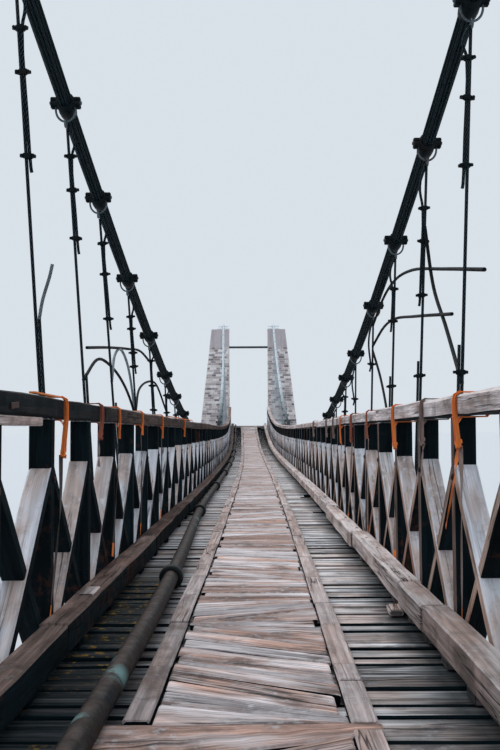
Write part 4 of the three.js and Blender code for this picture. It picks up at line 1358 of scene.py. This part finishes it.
def build_band(piece, head):
    slope = math.atan(2 * SAG_RATE * head.y)
    along = Vector((0, math.cos(slope), math.sin(slope)))
    upward = Vector((0, -math.sin(slope), math.cos(slope)))
    for updown in (-1, 1):
        centre = head + upward * updown * (BAND_GAP + BAND_PLATE) / 2
        reach = ACROSS * BAND_REACH
        plank(piece, centre - reach, centre + reach, 2 * BAND_HALF, BAND_PLATE, 0.006, up=upward)
        for dx in (-BAND_BOLT_X, BAND_BOLT_X):
            face = head + ACROSS * dx + upward * updown * (BAND_GAP / 2 + BAND_PLATE)
            bolt(piece, face, upward * updown, 0.012, 0.012, 0.017)
        bolt(piece, head + ACROSS * updown * (BAND_REACH - 0.002), ACROSS * updown, 0.013, 0.012, 0.02, 1)
    downhill = 1 if head.y <= 0 else -1
    rings = []
    for at, radius in SLEEVE_ON_CABLE:
        rings.append(ring_round(head + along * at * downhill, ACROSS, upward, radius, 16))
    piece.loft(rings, smooth_shade=True)


def build_shackle(piece, head):
    tube(piece, catmull([head + Vector((x, 0, z)) for x, z in SHACKLE_SHAPE], 18), SHACKLE_ROD)
    loop = []
    for angle in [2 * math.pi * k / 16 for k in range(17)]:
        down = EYE_RADIUS * 1.15 * math.cos(angle) - EYE_DOWN
        loop.append(head + Vector((0, EYE_RADIUS * math.sin(angle), down)))
    tube(piece, loop, EYE_ROD, 6)


def hanger_clip(piece, centre):
    """A wire clip: its body round both ropes, the bar through it and two nuts."""
    rng = piece.rng
    tilt = Vector((rng.uniform(-0.12, 0.12), rng.uniform(-0.06, 0.06), 1)).normalized()
    for wide, deep, high, chamfer in CLIP_BARS:
        half = tilt * high / 2
        plank(piece, centre - half, centre + half, wide, deep, chamfer, up=ALONG)
    for dx in (-CLIP_NUT_X, CLIP_NUT_X):
        bolt(piece, centre + Vector((dx, -CLIP_BARS[0][1] / 2 + 0.002, 0)), (0, -1, 0), 0.011, 0.012, 0)


def guessed_clips(rng, foot, top):
    """Clip heights and dead ends for a hanger that can't be seen well."""
    room = top.z - foot.z
    first = top.z - rng.uniform(0.1, 0.2) * min(1, room)
    reach = min(1, room / 2)
    spots = [first, first - rng.uniform(0.2, 0.35) * reach, first - rng.uniform(0.5, 0.8) * reach]
    upper = [z for z in spots if z > foot.z + 0.35 * room]
    low_top = foot.z + rng.uniform(0.3, 0.45) * min(room, 3)
    lower = [foot.z + (low_top - foot.z) * share for share in (0.5, 0.88)]
    return upper, (upper or [top.z])[-1] - 0.1 * min(1, room), lower, low_top


def foot_loops(piece, side, foot):
    """Both ropes of a hanger go round the end of its cross beam."""
    bottom = [math.pi * k / 8 for k in range(9)]
    way = [(0.0, 0.09), (0.055, 0.0), *[(0.078 * math.cos(a), -0.1 - 0.082 * math.sin(a)) for a in bottom],
           (-0.055, 0.0), (0.0, 0.09)]
    for inward in (0.0, APART):
        base = foot - Vector((side * inward, 0, 0))
        tube(piece, [base + Vector((0, along, up)) for along, up in way], DEAD_ROPE, 7)


def build_hangers(side):
    name = SIDES[side]
    ropes = Piece(f"{name}_hangers", 90 + side)
    fittings = Piece(f"{name}_bands_and_clips", 95 + side)
    shackles = Piece(f"{name}_shackles", 98 + side)
    for number in HANGERS:
        foot, head = hanger_ends(side, number)
        build_band(fittings, head)
        room = head.z - foot.z
        top = head
        if room > SHACKLE_FROM:
            build_shackle(shackles, head)
            top = head.lerp(foot, (EYE_DOWN + EYE_RADIUS) / room)

        def rope(points, radius=DEAD_ROPE, sides=7, look=0, smoothed=0):
            """A rope through places given by height and by how far inward they are."""
            line = [foot.lerp(top, (z - foot.z) / (top.z - foot.z)) - Vector((side * inward, 0, 0))
                    for z, inward in points]
            tube(ropes, catmull(line, smoothed) if smoothed else line, radius, sides, look)

        known = KNOWN_CLIPS[side].get(number) or guessed_clips(fittings.rng, foot, top)
        upper, tail_end, lower, low_top = known
        rope([(top.z, 0), (lerp(top.z, foot.z, 0.5), 0), (foot.z, 0)], HANGER_ROPE, 8)
        if upper:
            spread = LOOP_SPREAD * min(1, room / 2)
            rope([(top.z + 0.015, 0.006), (lerp(top.z, upper[0], 0.3), APART + spread * 0.8),
                  (lerp(top.z, upper[0], 0.6), APART + spread), (upper[0], APART),
                  (lerp(upper[0], tail_end, 0.6), APART), (tail_end + 0.03, APART + 0.004),
                  (tail_end, APART + 0.008)], smoothed=18)
        if (side, number) == STRAY_HANGER:
            rope([(foot.z, APART), (lerp(foot.z, STRAY_FROM, 0.5), APART), (STRAY_FROM, APART)])
            bent = [(lerp(STRAY_FROM, low_top, share), out) for share, out in STRAY_WAY]
            rope([(STRAY_FROM, APART), *bent], look=1, smoothed=9)
        else:
            rope([(foot.z, APART), (lerp(foot.z, low_top, 0.5), APART), (low_top, APART + 0.003)])
        for z in (*upper, *lower):
            middle = foot.lerp(top, (z - foot.z) / (top.z - foot.z)) - Vector((side * APART / 2, 0, 0))
            hanger_clip(fittings, middle)
        foot_loops(ropes, side, foot)
    ropes.make([HANGER_WIRE, PALE_WIRE])
    fittings.make([FORGED, SHACKLE])
    shackles.make([SHACKLE])


# Water pipe on the left of the deck
PIPE_CENTRE = BOARDS_TOP + SLEEVE_RADIUS * math.cos(math.pi / 8) + 0.0004
PIPE_END = 28.499
COUPLING_SHAPE = ((-1, 0.064), (-0.96, 0.08), (-0.6, 0.0895), (0.6, 0.0895), (0.96, 0.08), (1, 0.064))


def pipe_at(y):
    start, stop = PIPE_BEND
    return deck(lerp(PIPE_NEAR_X, PIPE_FAR_X, smooth((y - start) / (stop - start))), y, PIPE_CENTRE)


def build_pipe():
    pipe = Piece("water_pipe", 101)
    tube(pipe, [pipe_at(y) for y in steps_between(-PIPE_END, PIPE_END, 0.5)], PIPE_RADIUS, 24)
    pipe.make([PIPE_STEEL], numbered("water_pipe", 4))
    couplings = Piece("pipe_couplings", 102)
    y = COUPLING_FIRST
    while y < HALF:
        rings = []
        for share, radius in COUPLING_SHAPE:
            rings.append(ring_round(pipe_at(y + share * COUPLING_HALF), ACROSS, UP, radius, 28))
        couplings.loft(rings, smooth_shade=True)
        y += COUPLING_SPACING
    couplings.make([COUPLING_IRON])


# Stone towers
RENDER_FROM = 5.87
CAP_LOW = PYLON_TOP - 0.14
STONE_DEEP = 0.03
STONE_PROUD = 0.0155
STONE_INSET = 0.02
STONE_LENGTH = 0.34
JOINT = 0.018
WALL_FOOT = GROUND + 0.005


def stone(piece, corners, out):
    """A dressed stone: its four face corners, anticlockwise from outside, and the way out."""
    centre = sum(corners, Vector()) / 4
    lift = STONE_PROUD * piece.rng.uniform(0.7, 1.2)
    rings = [[c - out * STONE_DEEP for c in corners], [c + out * lift * 0.45 for c in corners]]
    shares = [1 - 0.02 / max((c - centre).length, 0.04) for c in corners]
    rings.append([centre + (c - centre) * share + out * lift for c, share in zip(corners, shares)])
    piece.loft(rings)


def rectangle(x0, x1, y0, y1, z):
    """Corners at one height, anticlockwise from above."""
    return [Vector((x0, y0, z)), Vector((x1, y0, z)), Vector((x1, y1, z)), Vector((x0, y1, z))]


def course_wall(piece, corners_at, k, top, course=0.14, wider=0.0):
    """Courses of stones on the face after corner k of a body whose corners are known for every height."""
    rng = piece.rng

    def at(s, z):
        corners = corners_at(z)
        return corners[k].lerp(corners[(k + 1) % 4], s)

    out = (at(1, WALL_FOOT) - at(0, WALL_FOOT)).cross(UP).normalized()
    rows = max(1, round((top - WALL_FOOT) / course))
    for row in range(rows):
        low = lerp(WALL_FOOT, top, row / rows) + JOINT / 2
        high = lerp(WALL_FOOT, top, (row + 1) / rows) - JOINT / 2
        middle = (low + high) / 2
        width = (at(1, middle) - at(0, middle)).length + wider
        s = -rng.uniform(0, 0.6) * STONE_LENGTH / width
        while s < 1:
            step = STONE_LENGTH * rng.uniform(0.65, 1.4) / width
            a, b = max(s, 0.0) + JOINT / 2 / width, min(s + step, 1.0) - JOINT / 2 / width
            if b - a > 0.05 / width:
                stone(piece, [at(a, low), at(b, low), at(b, high), at(a, high)], out)
            s += step


def build_pylon(end, side):
    name = f"{ENDS[end]}_{SIDES[side]}_pylon"
    piece = Piece(name, 200 + end * 10 + side)

    def ring(z, inset=STONE_INSET):
        drop = PYLON_TOP - z
        x0, x1 = sorted((side * PYLON_INNER, side * (PYLON_OUTER_TOP + drop * OUTER_BATTER)))
        half = PYLON_HALF_TOP + drop * FACE_BATTER - inset
        return rectangle(x0 + inset, x1 - inset, end * HALF - half, end * HALF + half, z)

    piece.loft([ring(GROUND), ring(RENDER_FROM)], look=1)
    for k in (3, 0, 1, 2):
        course_wall(piece, ring, k, RENDER_FROM - 0.01, wider=2 * STONE_INSET)
    steps = ((RENDER_FROM, STONE_INSET), (RENDER_FROM, 0.004), (CAP_LOW, 0.004), (CAP_LOW, 0.0),
             (PYLON_TOP - 0.01, 0.0), (PYLON_TOP, 0.012))
    piece.loft([ring(*step) for step in steps], look=2)
    piece.make([STONE, MORTAR, RENDER], [name])


# Saddles: a base plate, a cradle between two webs, and a head plate close below the cable
BASE_LOW = PYLON_TOP + 0.001
BASE_TOP = BASE_LOW + 0.06
HEAD_LOW = 7.17
HEAD_HIGH = 7.228


def block(piece, centre, size, chamfer, **more):
    """A straight bar or plate, its length along the x axis."""
    x, y, z = centre
    plank(piece, (x - size[0] / 2, y, z), (x + size[0] / 2, y, z), size[1], size[2], chamfer, **more)


def build_saddle(end, side):
    name = f"{ENDS[end]}_{SIDES[side]}_saddle"
    piece = Piece(name, 230 + end * 10 + side)
    x, y = side * CABLE_X_TOWER, end * HALF
    block(piece, (x, y, BASE_LOW + 0.03), (0.74, 0.72, 0.06), 0.006)
    inner = SADDLE_RADIUS - CABLE_RADIUS - 0.0008
    arc = []
    for i in range(13):
        angle = lerp(-SLOPE_AT_SADDLE, BACKSTAY_ANGLE, i / 12)
        arc.append((y + end * inner * math.sin(angle), ARC_TOP - SADDLE_RADIUS + inner * math.cos(angle)))
    for dx, half, more in ((0.0, 0.045, 0.0), (-0.075, 0.014, 0.03), (0.075, 0.014, 0.03)):
        rings = []
        for along, up in [(along, high + more) for along, high in arc if high > BASE_TOP + 0.01]:
            points = [(-half, BASE_TOP), (half, BASE_TOP), (half, up - 0.004), (half - 0.004, up),
                      (-half + 0.004, up), (-half, up - 0.004)]
            rings.append([Vector((x + dx + p, along, q)) for p, q in points])
        piece.loft(rings)
    block(piece, (x, y, (HEAD_LOW + HEAD_HIGH) / 2), (0.68, 0.22, HEAD_HIGH - HEAD_LOW), 0.008)
    for dx in (-0.2, 0.2):
        foot, head = (x + dx, y, BASE_TOP - 0.002), (x + dx, y, HEAD_LOW + 0.003)
        plank(piece, foot, head, 0.016, 0.16, 0.003, up=ALONG)
    for dx in (-0.28, 0.28):
        for dy in (-0.28, 0.28):
            bolt(piece, (x + dx, y + dy, BASE_TOP), UP, 0.025, 0.025, 0.045)
    piece.make([PALE_STEEL], [name])


# A thin steel beam between each pair of pylons: two flanges and a web, with a plate at each end
PORTAL_HIGH = 4.85
PORTAL_REACH = PYLON_INNER - 0.001
PORTAL_PARTS = ((0.053, 0.12, 0.012), (0.0, 0.012, 0.095), (-0.053, 0.12, 0.012))


def build_portal_beam(end):
    name = f"{ENDS[end]}_portal_beam"
    piece = Piece(name, 250 + end)
    y, z = end * (HALF - 0.25), grade_at(end * HALF) + PORTAL_HIGH
    for dz, wide, high in PORTAL_PARTS:
        block(piece, (0, y, z + dz), (2 * PORTAL_REACH, wide, high), 0.002)
    for x in (-PORTAL_REACH + 0.006, PORTAL_REACH - 0.006):
        block(piece, (x, y, z), (0.012, 0.12, 0.12), 0.001)
    piece.make([BEAM_STEEL], [name])


# Abutments, with a step where the deck's end rests
ABUTMENT_REACH = PYLON_INNER - 0.001
ABUTMENT_FRONT = HALF - 1
ABUTMENT_BACK = HALF + 1.1
ABUTMENT_STEP = HALF + 0.002
SLAB_HIGH = 0.05
SILL_HIGH = 0.06


def extruded(piece, outline, reach, end, look):
    """A body with the same outline, given along and up, all the way across."""
    piece.loft([[Vector((x, end * y, z)) for y, z in outline] for x in (-reach, reach)], look=look)


def build_abutment(end):
    name = f"{ENDS[end]}_abutment"
    piece = Piece(name, 260 + end)
    rng = piece.rng
    top = grade_at(end * HALF)

    def seat(y):
        return between_stations(grade_at, end * y) + TRANSOM_TOP - 0.003

    def ring(z):
        y0, y1 = sorted((end * front, end * back))
        return rectangle(-ABUTMENT_REACH, ABUTMENT_REACH, y0, y1, z)

    front, back, step = ABUTMENT_FRONT + STONE_INSET, ABUTMENT_BACK - STONE_INSET, ABUTMENT_STEP + STONE_INSET
    outline = [(front, GROUND), (back, GROUND), (back, top - SILL_HIGH), (step, top - SILL_HIGH),
               (step, seat(HALF) - SLAB_HIGH), (front, seat(ABUTMENT_FRONT) - SLAB_HIGH)]
    extruded(piece, outline, ABUTMENT_REACH - STONE_INSET, end, 1)
    course_wall(piece, ring, 1 - end, seat(ABUTMENT_FRONT) - SLAB_HIGH - 0.01)
    course_wall(piece, ring, 1 + end, top - SILL_HIGH - 0.01)
    middle = (ABUTMENT_FRONT + ABUTMENT_STEP) / 2
    sill_middle = (ABUTMENT_STEP + ABUTMENT_BACK) / 2
    slabs = ((ABUTMENT_FRONT, middle, seat(middle) - 0.012, SLAB_HIGH),
             (middle, ABUTMENT_STEP, seat(middle) - 0.012, SLAB_HIGH),
             (ABUTMENT_STEP, sill_middle, top, SILL_HIGH), (sill_middle, ABUTMENT_BACK, top, SILL_HIGH))
    x = -ABUTMENT_REACH
    while x < ABUTMENT_REACH - 0.05:
        wide = min(rng.uniform(0.35, 0.6), ABUTMENT_REACH - x)
        for a, b, up, high in slabs:
            centre = (x + wide / 2, end * (a + b) / 2, up - high / 2)
            block(piece, centre, (wide - 0.008, b - a - 0.008, high), 0.008, warp=0.002)
        x += wide
    piece.make([STONE, MORTAR], [name])


# Anchor blocks: stone walls under a rendered cap, with a sloping face where the backstays go in
ANCHOR_CAP = 0.16
FACE_RUN = (ANCHOR_HIGH - ANCHOR_FACE_LOW) * math.tan(BACKSTAY_ANGLE)
FACE_SLOPE = FACE_RUN / (ANCHOR_HIGH - ANCHOR_FACE_LOW)


def build_anchor(end):
    name = f"{ENDS[end]}_anchor_block"
    piece = Piece(name, 270 + end)
    reach = ANCHOR_REACH - STONE_INSET
    front, back = ANCHOR_SEAT_Y - FACE_RUN / 2, HALF + ANCHOR_BACK
    face_low, high = GROUND + ANCHOR_FACE_LOW, GROUND + ANCHOR_HIGH
    cap_low = high - ANCHOR_CAP
    core = [(front, GROUND), (front, face_low), (front + FACE_RUN, high - 0.02)]
    core = [(y + STONE_INSET, z) for y, z in core]
    outline = [core[0], (back - STONE_INSET, GROUND), (back - STONE_INSET, high - 0.02), core[2], core[1]]
    extruded(piece, outline, reach, end, 1)

    def ring(z):
        face = front + STONE_INSET + max(0, z - face_low) * FACE_SLOPE
        y0, y1 = sorted((end * face, end * (back - STONE_INSET)))
        return rectangle(-reach, reach, y0, y1, z)

    course_wall(piece, ring, 1 - end, face_low, 0.17)
    for k in (1 + end, 3, 1):
        course_wall(piece, ring, k, cap_low, 0.19)
    cap_front = front + FACE_RUN - ANCHOR_CAP * FACE_SLOPE
    rings = []
    inner = ANCHOR_REACH - 0.01
    for x, trim in ((-ANCHOR_REACH, 0.01), (-inner, 0), (inner, 0), (ANCHOR_REACH, 0.01)):
        z0, z1, y1 = cap_low + 0.005, high - trim - 0.001, back - trim - 0.001
        outline = [(cap_front + trim, z0), (y1, z0), (y1, z1), (front + FACE_RUN + trim, z1)]
        rings.append([Vector((x, end * y, z)) for y, z in outline])
    piece.loft(rings, look=2)
    piece.make([STONE, MORTAR, RENDER], [name])


build_floor_frame()
build_base_boards()
build_walkway()
build_strips()
for side in SIDES:
    build_kick_beams(side)
    build_posts(side)
    build_braces(side)
    build_rail(side)
    build_straps(side)
    build_cable(side)
    build_hangers(side)
build_pipe()
for end in ENDS:
    for side in SIDES:
        build_pylon(end, side)
        build_saddle(end, side)
    build_portal_beam(end)
    build_abutment(end)
    build_anchor(end)


# Floor and light
FLOOR_REACH = 150
SKY = rgb(222, 230, 238)
SKY_STRENGTH = 0.95
KEY_FROM = Vector((-0.45, 0.6, 0.9))
KEY_STRENGTH = 1.5
KEY_ANGLE = math.radians(50)


def build_stage():
    mesh = bpy.data.meshes.new("studio_floor")
    mesh.from_pydata(rectangle(-FLOOR_REACH, FLOOR_REACH, -FLOOR_REACH, FLOOR_REACH, 0), [], [(0, 1, 2, 3)])
    look = Look("studio_floor", 0.2)
    look.shader["Base Color"].default_value = rgb(206, 210, 214)
    look.shader["Roughness"].default_value = 0.9
    mesh.materials.append(look.made)
    floor = linked("studio_floor", mesh)

    world = bpy.data.worlds.new("studio")
    world.use_nodes = True
    background = world.node_tree.nodes["Background"]
    background.inputs["Color"].default_value = SKY
    background.inputs["Strength"].default_value = SKY_STRENGTH
    bpy.context.scene.world = world

    sun_data = bpy.data.lights.new("soft_key", "SUN")
    sun_data.energy = KEY_STRENGTH
    sun_data.angle = KEY_ANGLE
    sun_data.color = (1.0, 0.985, 0.97)
    sun = linked("soft_key", sun_data)
    sun.rotation_euler = KEY_FROM.to_track_quat("Z", "Y").to_euler()
    bpy.context.scene.view_settings.view_transform = "Standard"
    bpy.context.scene.view_settings.look = "None"


build_stage()
